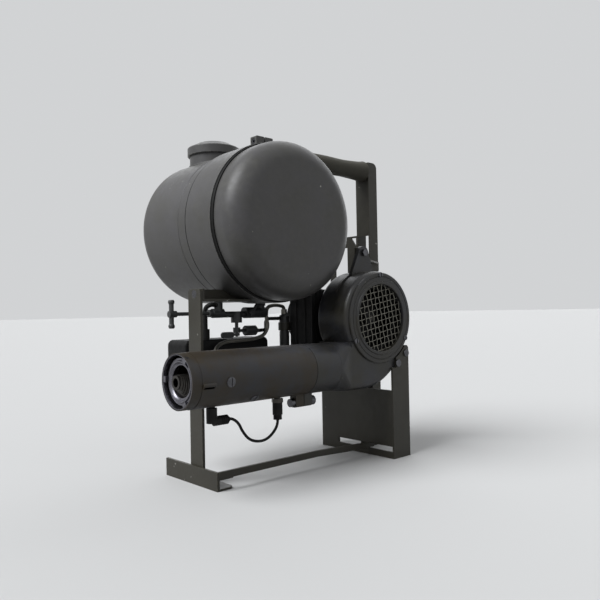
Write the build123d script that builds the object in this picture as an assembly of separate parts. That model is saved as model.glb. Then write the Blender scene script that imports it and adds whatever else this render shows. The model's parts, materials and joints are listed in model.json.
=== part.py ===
from build123d import *
import os
from math import cos, hypot, pi, radians, sin, sqrt, tan

# Diesel air heater: a fuel tank strapped over a burner tube and a centrifugal blower,
# carried by a front foot, a rear stand and a grip. Millimetres, +Z up. The burner tube
# points along -X, the blower takes its air from the -Y side.
# Everything is built in one working frame and then moved so that the origin is the
# bottom centre of the bounding box.

# ---- clearances ----
GAP = 0.1          # between curved faces that lie on each other
RUN = 0.05         # radial clearance of a running fit
MOVE = 0.4         # between a moving piece and what it passes

# ---- tank ----
TANK_R = 107.5
TANK_LENGTH = 242.5
TANK_X = -23.0
TANK_Y = 11.25
TANK_BOTTOM = 233.5    # the pipes and the front post meet the tank here
TANK_WALL = 1.5
NEAR_KNUCKLE = 28.0
FAR_KNUCKLE = 24.0

# ---- filler neck and cap ----
NECK_Y = 86.0
NECK_R = 37.0
NECK_WALL = 2.5
NECK_HEIGHT = 21.5     # above the crown of the tank
CAP_WALL = 3.3
CAP_PLAY = 0.1
CAP_TOP_T = 2.0
CAP_SKIRT = 15.0
CAP_BOSS_R = 27.0
CAP_BOSS_H = 5.0
SEAL_T = 2.0
STRAINER_DEPTH = 58.0
STRAINER_WALL = 0.8
STRAINER_HOLE_R = 3.0

# ---- strap, liner, clamp ----
FRAME_Y = -32.0        # plane of the posts, the strap and the grip
STRAP_W = 57.0
STRAP_T = 1.5
LINER_T = 1.0
LINER_NEAR_EDGE = 4.0
LINER_FAR_EDGE = 1.0
CLAMP_W = 13.5
CLAMP_H = 14.0
CLAMP_SLIT = 2.0
CLAMP_EAR = 14.0       # each ear, on either side of the slit
CLAMP_BOLT_R = 2.5
CLAMP_HEAD_R = 4.3
CLAMP_HEAD_L = 5.0

# ---- posts, foot, saddle, rail ----
BAR_W = 28.0
BAR_T = 4.0
FOOT_X = -144.0
FOOT_Y = -23.0
FOOT_LENGTH = 120.0
FOOT_HEIGHT = 23.5
FOOT_DEPTH = 26.0
FOOT_T = 4.0
FOOT_FLOOR_T = 3.0
FOOT_CORNER = 8.0
POST_TOP = 250.0
SADDLE_T = 3.0
SADDLE_DROP = 16.0     # height of the saddle's end at the post
SADDLE_REACH = 35.0    # from the tank's centre line to the saddle's end
RAIL_T = 4.0
RAIL_H = 9.0
RAIL_FLAT = 165.0      # level length before the rail dips
TONGUE_H = 6.5
TONGUE_OUT = 8.0

# ---- rear stand and rear post ----
STAND_X = 135.3
STAND_Y = -56.0
STAND_W = 149.0
STAND_DEPTH = 37.7
STAND_T = 3.0
STAND_WEB_H = 100.0
STAND_EAR_H = 165.0
SLOT_Z = 10.0
SLOT_H = 7.5
SLOT_LENGTH = 110.0
REAR_POST_X = 187.0
REAR_POST_DEPTH = 20.0
REAR_POST_T = 2.5
POST_OVER_GRIP = 13.5
REAR_POST_ROUND = 9.0
WINDOW_Z = 296.0
WINDOW_H = 43.0
SPACER_R = 7.0
SPACER_BOLT_L = 14.0
SPACER_LOW = 35.0
SPACER_HIGH = 80.0

# ---- grip ----
GRIP_RISE = 103.5      # above the tank's axis
GRIP_CORE_R = 6.0
GRIP_R = 13.6
GRIP_FLARE_R = 17.2
GRIP_LENGTH = 122.0
GRIP_FOOT_LENGTH = 38.0
GRIP_FOOT_W = 20.0

# ---- burner tube ----
BURNER_Y = -97.0
BURNER_Z = 141.0
BURNER_R = 33.5
BURNER_WALL = 1.5
BURNER_LENGTH = 190.5
NOZZLE_X = -207.0
SPIGOT_R = 33.0        # swaged end that a duct slips over
SPIGOT_L = 13.0
NOZZLE_RING_T = 1.4
NOZZLE_RING_L = 9.0
NOZZLE_SCREW_IN = 3.6  # nozzle screws, from the end of the tube
DISH_R = 27.0
DISH_BEAD_R = 23.2
DISH_HOLE_R = 19.0
DISH_DEPTH = 5.0
DISH_T = 1.2
DISH_LUG_W = 7.0
CHAMBER_R = 15.0
CHAMBER_T = 1.2
CHAMBER_LENGTH = 152.0
CHAMBER_DROP = 7.0
SPOUT_R = 8.4
SPOUT_WALL = 3.0
SPOUT_SIDE = 2.5       # spout's place beside and below the burner's axis
SPOUT_DROP = 1.0
SPOUT_L = 2.0
SPOUT_CONE = 14.0
CONE_RIBS = 6
HEAD_L = 12.0
GASKET_T = 1.0
NECK_L = 44.5
SENSOR_X = -160.0
IGNITER_X = -57.7
FUEL_X = -100.0
LUG_L = 14.0
LUG_DROP = 16.0
LUG_W = 12.0
LATCH_R = 2.5

# ---- blower ----
BLOWER_X = 113.0
BLOWER_Z = 207.0
DRUM_R = 68.0
SCROLL_SHIFT = 32.0
HOUSING_DEPTH = 64.0
HOUSING_FRONT = -127.5
HOUSING_WALL = 2.5
HOUSING_ROUND = 10.0
LOFT_L = 24.0          # where the round neck turns into the drum's section
DUCT_STEPS = 6
BEAD = 2.0
INTAKE_R = 47.0
RING_R = 65.4
RING_T = 3.0
RING_RIM = 1.5
RING_RIM_W = 4.0
GRILLE_R = 50.8
GRILLE_T = 1.2
GRILLE_PITCH = 8.4
GRILLE_WIRE = 1.7
GRILLE_TILT = 10.0
RING_SCREW_PCD = 124.0
IMPELLER_R = 49.0
IMPELLER_WIDTH = 34.0
IMPELLER_PLATE = 2.0
BLADES = 24
SHAFT_R = 4.0
MOTOR_R = 45.0
MOTOR_LENGTH = 85.0
MOTOR_WALL = 3.0
MOTOR_CAP = 9.0
ROTOR_R = 27.0
BEARING_R = 11.0
BEARING_W = 7.0
EAR_X = -3.0           # lifting ear, from the blower's axis
EAR_Z = 96.0
EAR_R = 10.0
EAR_T = 6.0
BOLT_R = 3.0
HEAD_R = 5.5
HEAD_H = 4.0
STAND_BOLT_R = 76.0
STAND_BOLT_ANGLES = (-62.7, -44.9)
STAND_HEAD_H = 2.0
SCREW_R = 2.0
SCREW_HEAD_R = 3.8
SCREW_HEAD_H = 1.5
CASING_HEAD_R = 6.0     # heads of the two screws in the burner's casing
CASING_HEAD_H = 1.7

TERMINAL_REACH = 63.0  # from the motor's axis
TERMINAL_RISE = 43.0   # above and below the motor's axis
TERMINAL_W = 48.0
TERMINAL_SET = 13.5    # behind the blower
TERMINAL_WALL = 2.5
TERMINAL_LID = 9.0

# ---- brackets behind the tank ----
PLATE_T = 3.0
PLATE_REACH = 63.0
PLATE_LOW = 188.0
PLATE_TOP = 341.0
BAND_Y = 0.0
BAND_W = 14.0
BAND_T = 2.0
STAY_Z = 296.0

# ---- control box ----
BOX_END = 20.0         # the end beside the fuel pump
BOX_LENGTH = 145.0
BOX_DEPTH = 44.0
BOX_Z = 100.0
BOX_H = 81.5
BOX_WALL = 2.0
BOX_ROUND = 8.0
LID_T = 2.0
SWITCH_IN = 60.0       # from the end beside the pump
SWITCH_Z = 150.0
INLET_IN = 25.0        # from the other end
INLET_R = 11.0
INLET_Z = 140.0
BOARD_IN = 15.0        # from the box's ends
BOARD_T = 1.6
BOARD_STUD = 6.0
COIL_R = 9.0

# ---- fuel line ----
FRONT_RISER_X = -74.0
REAR_RISER_X = 1.3
RISER_R = 7.3
MANIFOLD_Z = 218.0
VALVE_R = 6.5
VALVE_L = 18.0
FILTER_VALVE_R = 8.0
FILTER_VALVE_L = 38.0
LINK_R = 4.3
DROP_BOSS_X = -43.0
DROP_BOSS_R = 8.0
TEE_X = -149.6
TEE_H = 38.0
TEE_R = 3.2
TEE_ROD_R = 2.5
COCK_Z = 192.5
COCK_R = 5.2
COCK_LEVER_L = 27.0
PADDLE_H = 8.6
PADDLE_T = 3.2
PADDLE_RISE = 2.0      # over the hub
FILTER_R = 7.3
FILTER_L = 20.0
PIPE_R = 2.75
PIPE_BORE = 1.75
HOSE_R = 2.6
HOSE_BORE = 1.6
PUMP_X = 47.5
PUMP_R = 7.5
PUMP_TOP = 215.0
PUMP_H = 55.0
PUMP_PORT_Z = 208.3
PUMP_JOINT = 26.5      # below the pump's top
CLIP_Z = 196.0
CONDUIT_R = 3.3

# ---- igniter lead ----
LEAD_D = 3.6
LEAD_ROUTE = [(-135.0, 90.0), (-130.0, 90.0), (-120.5, 83.0), (-115.0, 72.0), (-105.0, 60.5),
              (-92.0, 55.8), (-78.0, 55.8), (-66.0, 62.5), (-57.7, 72.5), (-57.7, 79.5)]
CONNECTOR_R = 6.5

# ---- values that follow ----
TANK_Z = TANK_BOTTOM + TANK_R
NEAR_Y = TANK_Y - TANK_LENGTH / 2
FAR_Y = TANK_Y + TANK_LENGTH / 2
LINER_R = TANK_R + GAP
STRAP_R0 = LINER_R + LINER_T + GAP
STRAP_R = STRAP_R0 + STRAP_T
STRAP_NEAR = FRAME_Y - STRAP_W / 2
STRAP_FAR = FRAME_Y + STRAP_W / 2
NECK_TOP = TANK_Z + TANK_R + NECK_HEIGHT
CAP_R = NECK_R + CAP_PLAY + CAP_WALL
CAP_TOP = NECK_TOP + SEAL_T + CAP_TOP_T
POST_X = FOOT_X + FOOT_T
JOINT_X = NOZZLE_X + BURNER_LENGTH
NECK_X = JOINT_X + GASKET_T
SEAM_X = NECK_X + NECK_L
STAND_NEAR = STAND_Y - STAND_W / 2
STAND_FAR = STAND_Y + STAND_W / 2
HOUSING_REAR = HOUSING_FRONT + HOUSING_DEPTH
SPLIT_Y = (HOUSING_FRONT + HOUSING_REAR) / 2
MOTOR_REAR = HOUSING_REAR + MOTOR_LENGTH
VALVE_Y = STRAP_FAR + LINER_FAR_EDGE + RISER_R + 3.2
BOX_Y = VALVE_Y + PIPE_R + 3.0
BOX_TOP = BOX_Z + BOX_H
BOX_X = BOX_END - BOX_LENGTH
SWITCH_X = BOX_END - SWITCH_IN
INLET_X = BOX_X + INLET_IN
GRIP_Z = TANK_Z + GRIP_RISE
REAR_POST_TOP = GRIP_Z + POST_OVER_GRIP
GRIP_TUBE_X = REAR_POST_X - GRIP_LENGTH
CHAMBER_Z = BURNER_Z - CHAMBER_DROP
CHAMBER_X = NOZZLE_X + SPOUT_L + SPOUT_CONE
CHAMBER_END = CHAMBER_X + CHAMBER_LENGTH
CASING_IN = BURNER_R - BURNER_WALL
COCK_TOP = COCK_Z - 3.0
FILTER_X = DROP_BOSS_X + COCK_R + 9.0
FEED_ROUTE = [(PUMP_X, VALVE_Y, PUMP_TOP), (PUMP_X, VALVE_Y, 226.0), (31.0, VALVE_Y, 229.0),
              (13.5, VALVE_Y, 226.0),
              (11.8, VALVE_Y, 211.0), (15.8, VALVE_Y, 197.0), (7.5, VALVE_Y, 184.0),
              (-10.0, VALVE_Y, 179.6),
              (-37.0, VALVE_Y, 178.2), (-64.0, VALVE_Y, 177.6), (-84.0, VALVE_Y - 6, 171.0),
              (-97.0, -14.0, 155.0),
              (FUEL_X, -31.0, BURNER_Z), (FUEL_X, BURNER_Y + BURNER_R + 12, BURNER_Z)]
SUPPLY_ROUTE = [(FILTER_X + FILTER_L + 5, VALVE_Y, COCK_Z - 1), (1.5, VALVE_Y, COCK_Z - 1),
                (8.5, 16.0, COCK_Z - 1), (18.0, 16.5, COCK_Z - 1), (18.0, 16.5, PUMP_PORT_Z),
                (29.0, VALVE_Y, PUMP_PORT_Z), (PUMP_X - PUMP_R - 1, VALVE_Y, PUMP_PORT_Z)]
SENDER_ROUTE = [(FRONT_RISER_X - RISER_R + 1.3, VALVE_Y, 230.0), (-86.5, VALVE_Y + 1, 230.5),
                (-89.5, 18.0, 226.0),
                (-89.5, 18.5, 211.0), (-88.4, 20.0, 199.0), (-88.4, 20.0, 190.0)]


# ---- helpers ----
def block(x0, x1, y0, y1, z0, z1):
    return Pos((x0 + x1) / 2, (y0 + y1) / 2, (z0 + z1) / 2) * Box(x1 - x0, y1 - y0, z1 - z0)


def rod_x(x0, x1, y, z, r):
    return Pos((x0 + x1) / 2, y, z) * Rot(0, 90, 0) * Cylinder(r, x1 - x0)


def rod_y(y0, y1, x, z, r):
    return Pos(x, (y0 + y1) / 2, z) * Rot(90, 0, 0) * Cylinder(r, y1 - y0)


def rod_z(z0, z1, x, y, r):
    return Pos(x, y, (z0 + z1) / 2) * Cylinder(r, z1 - z0)


def prism_xz(outline, y0, y1):
    plane = Plane(origin=(0, y1, 0), x_dir=(1, 0, 0), z_dir=(0, -1, 0))
    return extrude(plane * outline, y1 - y0)


def prism_yz(outline, x0, x1):
    plane = Plane(origin=(x0, 0, 0), x_dir=(0, 1, 0), z_dir=(1, 0, 0))
    return extrude(plane * outline, x1 - x0)


def prism_xy(outline, z0, z1):
    return extrude(Plane(origin=(0, 0, z0)) * outline, z1 - z0)


def polygon(*points):
    return make_face(Polyline(*points, close=True))


def turned_y(outline, x, z):
    """Outline of (radius, y) points or a face of them, turned about Y."""
    return Pos(x, 0, z) * revolve(outline, Axis.Y)


def turned_x(outline, y, z):
    """Face of (x, radius) turned about X."""
    return Pos(0, y, z) * revolve(outline, Axis.X)


def turned_z(points, x, y):
    """Polygon of (radius, z) points turned about Z."""
    plane = Plane(origin=(0, 0, 0), x_dir=(1, 0, 0), z_dir=(0, -1, 0))
    return Pos(x, y, 0) * revolve(plane * polygon(*points), Axis.Z)


def hex_x(x0, x1, y, z, r):
    return prism_yz(Pos(y, z) * RegularPolygon(r, 6), x0, x1)


def hex_y(y0, y1, x, z, r):
    return prism_xz(Pos(x, z) * RegularPolygon(r, 6), y0, y1)


def swept(points, radius, bends, bore=0):
    """Round tube along straight runs joined by tangent arcs."""
    path = FilletPolyline(*points, radius=bends)
    plane = Plane(origin=path @ 0, z_dir=path % 0)
    tube = sweep(plane * Circle(radius), path=path)
    if bore:
        tube -= sweep(plane * Circle(bore), path=path)
    return tube


def largest_bends(points, share=0.45):
    """The largest arc that the two runs beside each inner point allow."""
    spots = [Vector(*p) for p in points]
    radii = []
    for before, here, after in zip(spots, spots[1:], spots[2:]):
        turn = (here - before).get_angle(after - here)
        radii.append(share * min((here - before).length, (after - here).length) / tan(radians(turn / 2)))
    return radii


def below_tank(x, radius):
    """Height of the underside of a round of this radius about the tank's axis."""
    return TANK_Z - sqrt(radius**2 - (x - TANK_X) ** 2)


# ---- tank ----
def tank_body(inset):
    outline = polygon((0, NEAR_Y + inset), (TANK_R - inset, NEAR_Y + inset),
                      (TANK_R - inset, FAR_Y - inset), (0, FAR_Y - inset))
    rims = outline.vertices().filter_by(lambda v: v.X > 1).sort_by(Axis.Y)
    outline = fillet(rims[0], NEAR_KNUCKLE - inset)
    far_corner = outline.vertices().filter_by(lambda v: v.X > 1).sort_by(Axis.Y)[-1:]
    outline = fillet(far_corner, FAR_KNUCKLE - inset)
    return turned_y(outline, TANK_X, TANK_Z)


def riser_bore(x):
    return rod_z(below_tank(x, TANK_R) - 9, TANK_Z, x, VALVE_Y, RISER_R - 3.5)


def riser_boss(x):
    return rod_z(boss_face(x), TANK_Z - 40, x, VALVE_Y, RISER_R + 1.2)


def boss_face(x):
    """Height of the flat underside of an outlet boss."""
    low = min(below_tank(x - RISER_R - 1.2, TANK_R), below_tank(x + RISER_R + 1.2, TANK_R))
    return low - 2.0


def filler_neck():
    ledge = NECK_TOP - 6.0
    neck = rod_z(TANK_Z, NECK_TOP, TANK_X, NECK_Y, NECK_R)
    neck -= rod_z(TANK_Z - 1, NECK_TOP + 1, TANK_X, NECK_Y, NECK_R - NECK_WALL - 1.0)
    return neck - rod_z(ledge, NECK_TOP + 1, TANK_X, NECK_Y, NECK_R - NECK_WALL)


def tank_shell():
    inside = tank_body(TANK_WALL)
    shell = tank_body(0) + riser_boss(FRONT_RISER_X) + riser_boss(REAR_RISER_X) + filler_neck() - inside
    shell -= rod_z(TANK_Z, NECK_TOP, TANK_X, NECK_Y, NECK_R - NECK_WALL - 1.0)
    return shell - riser_bore(FRONT_RISER_X) - riser_bore(REAR_RISER_X)


def fuel_strainer():
    rim = NECK_R - NECK_WALL - 0.2
    cup = rim - 1.6
    seat = NECK_TOP - 6.0
    base = seat - STRAINER_DEPTH
    basket = turned_z([(0, base), (cup, base), (cup, seat), (rim, seat), (rim, seat + 1.2),
                       (cup - STRAINER_WALL, seat + 1.2), (cup - STRAINER_WALL, base + STRAINER_WALL),
                       (0, base + STRAINER_WALL)], TANK_X, NECK_Y)
    rows = 3
    for row in range(rows):
        z = base + STRAINER_DEPTH * (row + 0.7) / (rows + 0.4)
        for turn in range(5):
            hole = Rot(0, 0, 36 * turn) * Rot(0, 90, 0) * Cylinder(STRAINER_HOLE_R, 3 * cup)
            basket -= Pos(TANK_X, NECK_Y, z) * hole
    return basket


def cap_shell():
    skirt = CAP_TOP - CAP_SKIRT
    inside = NECK_TOP + SEAL_T
    top = CAP_TOP + CAP_BOSS_H
    bore = NECK_R + CAP_PLAY
    return turned_z([(0, inside), (bore, inside), (bore, skirt), (CAP_R - 0.8, skirt),
                     (CAP_R, skirt + 0.8), (CAP_R, CAP_TOP - 3), (CAP_R - 0.8, CAP_TOP - 2),
                     (CAP_BOSS_R + 2, top - 2), (CAP_BOSS_R, top - 1), (CAP_BOSS_R - 1.2, top),
                     (0, top)], TANK_X, NECK_Y)


def cap_seal():
    ring = rod_z(NECK_TOP, NECK_TOP + SEAL_T, TANK_X, NECK_Y, NECK_R - 0.2)
    return ring - rod_z(NECK_TOP - 1, NECK_TOP + SEAL_T + 1, TANK_X, NECK_Y, NECK_R - NECK_WALL)


# ---- strap ----
def band(r0, r1, y0, y1):
    return rod_y(y0, y1, TANK_X, TANK_Z, r1) - rod_y(y0 - 1, y1 + 1, TANK_X, TANK_Z, r0)


def clamp_z():
    return TANK_Z + STRAP_R + CLAMP_H / 2


def tank_strap():
    reach = CLAMP_SLIT / 2 + CLAMP_EAR
    left, right = TANK_X - reach, TANK_X + reach
    base = TANK_Z + sqrt(STRAP_R**2 - reach**2) - 0.6
    top = TANK_Z + STRAP_R + CLAMP_H
    ears = block(left, right, FRAME_Y - CLAMP_W / 2, FRAME_Y + CLAMP_W / 2, base, top)
    ears = fillet(ears.edges().filter_by(Axis.Y).group_by(Axis.Z)[-1], 1.5)
    strap = band(STRAP_R0, STRAP_R, STRAP_NEAR, STRAP_FAR)
    strap += ears - rod_y(STRAP_NEAR, STRAP_FAR, TANK_X, TANK_Z, STRAP_R0)
    strap -= block(TANK_X - CLAMP_SLIT / 2, TANK_X + CLAMP_SLIT / 2, STRAP_NEAR - 1, STRAP_FAR + 1,
                   TANK_Z, top + 1)
    strap -= rod_x(left - 1, right + 1, FRAME_Y, clamp_z(), CLAMP_BOLT_R + GAP)
    return strap - rod_x(left - 1, left + CLAMP_HEAD_L, FRAME_Y, clamp_z(), CLAMP_HEAD_R + GAP)


def strap_liner():
    return band(LINER_R, LINER_R + LINER_T, STRAP_NEAR - LINER_NEAR_EDGE, STRAP_FAR + LINER_FAR_EDGE)


def strap_bolt():
    """Cap screw, its head sunk in one ear and its end in the other."""
    reach = CLAMP_SLIT / 2 + CLAMP_EAR
    left, shoulder = TANK_X - reach, TANK_X - reach + CLAMP_HEAD_L
    bolt = rod_x(left + 0.5, shoulder, FRAME_Y, clamp_z(), CLAMP_HEAD_R)
    bolt -= hex_x(left, left + 3, FRAME_Y, clamp_z(), 2.2)
    return bolt + rod_x(shoulder - 1, TANK_X + reach - 1, FRAME_Y, clamp_z(), CLAMP_BOLT_R)


# ---- frame ----
def front_foot():
    y0, y1 = FOOT_Y - FOOT_LENGTH / 2, FOOT_Y + FOOT_LENGTH / 2
    floor = block(FOOT_X, FOOT_X + FOOT_DEPTH, y0, y1, 0, FOOT_FLOOR_T)
    floor = fillet(floor.edges().filter_by(Axis.Z).group_by(Axis.X)[-1], FOOT_CORNER)
    return floor + block(FOOT_X, FOOT_X + FOOT_T, y0, y1, 0, FOOT_HEIGHT)


def front_post():
    y0, y1 = FRAME_Y - BAR_W / 2, FRAME_Y + BAR_W / 2
    post = block(POST_X, POST_X + BAR_T, y0, y1, FOOT_FLOOR_T, POST_TOP)
    post = fillet(post.edges().filter_by(Axis.X).group_by(Axis.Z)[-1], 5)
    for z in post_bolt_heights():
        post -= rod_x(POST_X - 1, POST_X + BAR_T + 1, FRAME_Y, z, BOLT_R + GAP)
        post -= sunk_head(z, GAP)
    return post


def sunk_head(z, gap):
    """Cone of a countersunk head, flush with the post's front."""
    return turned_x(polygon((POST_X, 0), (POST_X, HEAD_R + gap), (POST_X + HEAD_R - BOLT_R, BOLT_R + gap),
                            (POST_X + HEAD_R - BOLT_R, 0)), FRAME_Y, z)


def post_bolt_heights():
    return (POST_TOP - 6.5,)


def saddle_outline(lift):
    back = POST_X + BAR_T
    end = TANK_X - SADDLE_REACH
    radius = STRAP_R + GAP
    top_z = POST_TOP + lift
    top_x = TANK_X - sqrt(radius**2 - (TANK_Z - POST_TOP) ** 2)
    low_z = below_tank(end, radius)
    mid_x = (top_x + end) / 2
    mid = (mid_x, below_tank(mid_x, radius) + lift)
    edges = [Line((back, top_z), (back, POST_TOP - SADDLE_DROP + lift)),
             Line((back, POST_TOP - SADDLE_DROP + lift), (end, low_z - SADDLE_T + lift)),
             Line((end, low_z - SADDLE_T + lift), (end, low_z + lift)),
             ThreePointArc((end, low_z + lift), mid, (top_x, top_z)),
             Line((top_x, top_z), (back, top_z))]
    return make_face(edges)


def tank_saddle():
    y0, y1 = FRAME_Y - BAR_W / 2, FRAME_Y + BAR_W / 2
    saddle = prism_xz(saddle_outline(0), y0, y1)
    back = POST_X + BAR_T
    pocket = prism_xz(saddle_outline(SADDLE_T), y0 - 1, y1 - SADDLE_T)
    pocket &= block(back + SADDLE_T, TANK_X, y0 - 1, y1, 0, TANK_Z)
    saddle -= pocket
    for z in post_bolt_heights():
        saddle -= rod_x(back - 1, back + SADDLE_T + 1, FRAME_Y, z, BOLT_R + GAP)
    return saddle


def saddle_bolt():
    z = post_bolt_heights()[0]
    back = POST_X + BAR_T + SADDLE_T
    return sunk_head(z, 0) + rod_x(POST_X, back, FRAME_Y, z, BOLT_R) \
        + hex_x(back, back + HEAD_H, FRAME_Y, z, HEAD_R - 0.7)


def rail_near():
    return FOOT_Y - FOOT_LENGTH / 2


def base_rail():
    x0 = POST_X
    level = x0 + RAIL_FLAT
    slot_mid = SLOT_Z + SLOT_H / 2
    top = FOOT_HEIGHT
    end = STAND_X
    outline = polygon((x0, top - RAIL_H), (level, top - RAIL_H), (end, slot_mid - TONGUE_H / 2 - 1.2),
                      (end, slot_mid - TONGUE_H / 2),
                      (STAND_X + STAND_T + TONGUE_OUT, slot_mid - TONGUE_H / 2),
                      (STAND_X + STAND_T + TONGUE_OUT, slot_mid + TONGUE_H / 2),
                      (end, slot_mid + TONGUE_H / 2),
                      (end, slot_mid + TONGUE_H / 2 + 1.2), (level, top), (x0, top))
    return prism_xz(outline, rail_near(), rail_near() + RAIL_T)


def rear_stand():
    back = STAND_X + STAND_DEPTH
    web = block(STAND_X, STAND_X + STAND_T, STAND_NEAR, STAND_FAR, 0, STAND_WEB_H)
    far = block(STAND_X, back, STAND_FAR - STAND_T, STAND_FAR, 0, STAND_WEB_H)
    near = block(STAND_X, back, STAND_NEAR, STAND_NEAR + STAND_T, 0, STAND_EAR_H)
    near -= rod_y(STAND_NEAR - 1, STAND_NEAR + STAND_T + 1, BLOWER_X, BLOWER_Z, RING_R + 1.6)
    near -= block(STAND_X - 1, STAND_X + 9, STAND_NEAR - 1, STAND_NEAR + STAND_T + 1, STAND_EAR_H - 32,
                  STAND_EAR_H + 1)
    stand = web + far + near
    stand = fillet(stand.edges().filter_by(Axis.Y).group_by(Axis.Z)[-1].sort_by(Axis.X)[-1:], 5)
    slot_end = STAND_NEAR + STAND_T
    stand -= block(STAND_X - 1, STAND_X + STAND_T + 1, slot_end, slot_end + SLOT_LENGTH,
                   SLOT_Z, SLOT_Z + SLOT_H)
    for x, z in stand_bolt_spots():
        stand -= rod_y(STAND_NEAR - 1, STAND_NEAR + STAND_T + 1, x, z, BOLT_R + GAP)
    return stand


def stand_bolt_spots():
    return [(BLOWER_X + STAND_BOLT_R * cos(radians(a)), BLOWER_Z + STAND_BOLT_R * sin(radians(a)))
            for a in STAND_BOLT_ANGLES]


def stand_bolts():
    bolts = []
    for x, z in stand_bolt_spots():
        head = rod_y(STAND_NEAR - STAND_HEAD_H, STAND_NEAR, x, z, HEAD_R)
        bolts.append(head + rod_y(STAND_NEAR, STAND_NEAR + STAND_T + HOUSING_WALL + 1, x, z, BOLT_R))
    return Compound(children=bolts)


def rear_post():
    y0, y1 = FRAME_Y - BAR_W / 2, FRAME_Y + BAR_W / 2
    back = REAR_POST_X + REAR_POST_DEPTH
    post = block(REAR_POST_X, back, y0, y1, 0, REAR_POST_TOP)
    post = fillet(post.edges().filter_by(Axis.Y).group_by(Axis.Z)[-1].sort_by(Axis.X)[-1:],
                  REAR_POST_ROUND)
    post -= block(REAR_POST_X + REAR_POST_T, back + 1, y0 + REAR_POST_T, y1 - REAR_POST_T, -1,
                  REAR_POST_TOP + 1)
    post -= block(REAR_POST_X - 1, REAR_POST_X + REAR_POST_T + 1, y0 + REAR_POST_T, y1 - REAR_POST_T,
                  WINDOW_Z, WINDOW_Z + WINDOW_H)
    for z in (SPACER_LOW, SPACER_HIGH, GRIP_Z):
        post -= rod_x(REAR_POST_X - 1, REAR_POST_X + REAR_POST_T + 1, FRAME_Y, z, BOLT_R + GAP)
    return post + rear_plate()


def rear_plate():
    x0 = REAR_POST_X
    y0 = FRAME_Y + BAR_W / 2
    plate = block(x0, x0 + PLATE_T, y0, y0 + PLATE_REACH, PLATE_LOW, PLATE_TOP)
    notch = polygon((y0 + 2, PLATE_TOP - 3), (y0 + 13, PLATE_TOP - 3), (y0 + 2, PLATE_TOP - 18))
    plate -= prism_yz(notch, x0 - 1, x0 + PLATE_T + 1)
    return plate - block(x0 - 1, x0 + PLATE_T + 1, y0 + 22, y0 + PLATE_REACH - 12, PLATE_TOP - 70,
                         PLATE_TOP - 18)


def post_spacers():
    spacers = []
    for z in (SPACER_LOW, SPACER_HIGH):
        tube = rod_x(STAND_X + STAND_T, REAR_POST_X, FRAME_Y, z, SPACER_R)
        depth = SPACER_BOLT_L + 2
        spacers.append(tube - rod_x(REAR_POST_X - depth, REAR_POST_X + 1, FRAME_Y, z, BOLT_R + GAP))
    return Compound(children=spacers)


def frame_bolts():
    bolts = [saddle_bolt(), grip_bolt(), ear_bolt()]
    inner = REAR_POST_X + REAR_POST_T
    for z in (SPACER_LOW, SPACER_HIGH):
        bolt = rod_x(REAR_POST_X - SPACER_BOLT_L, inner, FRAME_Y, z, BOLT_R)
        bolts.append(bolt + hex_x(inner, inner + HEAD_H, FRAME_Y, z, HEAD_R))
    return Compound(children=bolts)


# ---- grip ----
def handle_bar():
    foot_end = GRIP_TUBE_X - 2
    foot_start = foot_end - GRIP_FOOT_LENGTH
    foot = block(foot_start, foot_end, FRAME_Y - GRIP_FOOT_W / 2, FRAME_Y + GRIP_FOOT_W / 2,
                 GRIP_Z - 21, GRIP_Z + 8)
    foot = fillet(foot.edges().filter_by(Axis.Y).group_by(Axis.Z)[-1], 6)
    foot -= rod_y(STRAP_NEAR, STRAP_FAR, TANK_X, TANK_Z, STRAP_R + GAP)
    bar = foot + rod_x(foot_end - 5, REAR_POST_X, FRAME_Y, GRIP_Z, GRIP_CORE_R)
    return bar - rod_x(REAR_POST_X - 18, REAR_POST_X + 1, FRAME_Y, GRIP_Z, BOLT_R + GAP / 2)


def handle_grip():
    x0 = GRIP_TUBE_X
    bore = GRIP_CORE_R + GAP
    swell = Spline((x0 + 3, GRIP_R), (x0 + 0.3 * GRIP_LENGTH, GRIP_R + 0.4),
                   (x0 + 0.58 * GRIP_LENGTH, GRIP_R - 0.3),
                   (x0 + 0.8 * GRIP_LENGTH, GRIP_R + 0.8), (REAR_POST_X - 2.5, GRIP_FLARE_R - 0.3),
                   tangents=[(1, 0.02), (1, 0.25)])
    outline = make_face([Line((x0, bore), (x0, GRIP_R - 3)),
                         ThreePointArc((x0, GRIP_R - 3), (x0 + 0.9, GRIP_R - 0.9), (x0 + 3, GRIP_R)),
                         swell, Line((REAR_POST_X - 2.5, GRIP_FLARE_R - 0.3),
                                     (REAR_POST_X, GRIP_FLARE_R - 0.6)),
                         Line((REAR_POST_X, GRIP_FLARE_R - 0.6), (REAR_POST_X, bore)),
                         Line((REAR_POST_X, bore), (x0, bore))])
    return turned_x(outline, FRAME_Y, GRIP_Z)


def grip_bolt():
    inner = REAR_POST_X + REAR_POST_T
    return rod_x(REAR_POST_X - 17, inner, FRAME_Y, GRIP_Z, BOLT_R) + hex_x(inner, inner + HEAD_H,
                                                                           FRAME_Y, GRIP_Z, HEAD_R)


# ---- blower housing ----
def scroll_outline(inset):
    r = DRUM_R - inset
    big = DRUM_R + SCROLL_SHIFT - inset
    cx, cz = BLOWER_X, BLOWER_Z
    bx = cx - SCROLL_SHIFT
    roof = BURNER_Z + BURNER_R - inset
    left = loft_end()
    low = cz - big
    cut_x = cx - sqrt(r**2 - (cz - roof) ** 2)
    s = sqrt(0.5)
    edges = [Line((left, low), (bx, low)),
             ThreePointArc((bx, low), (bx + big * s, cz - big * s), (bx + big, cz)),
             ThreePointArc((cx + r, cz), (cx, cz + r), (cut_x, roof)),
             Line((cut_x, roof), (left, roof)),
             Line((left, roof), (left, low))]
    return make_face(edges)


def loft_end():
    return SEAM_X + LOFT_L


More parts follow.
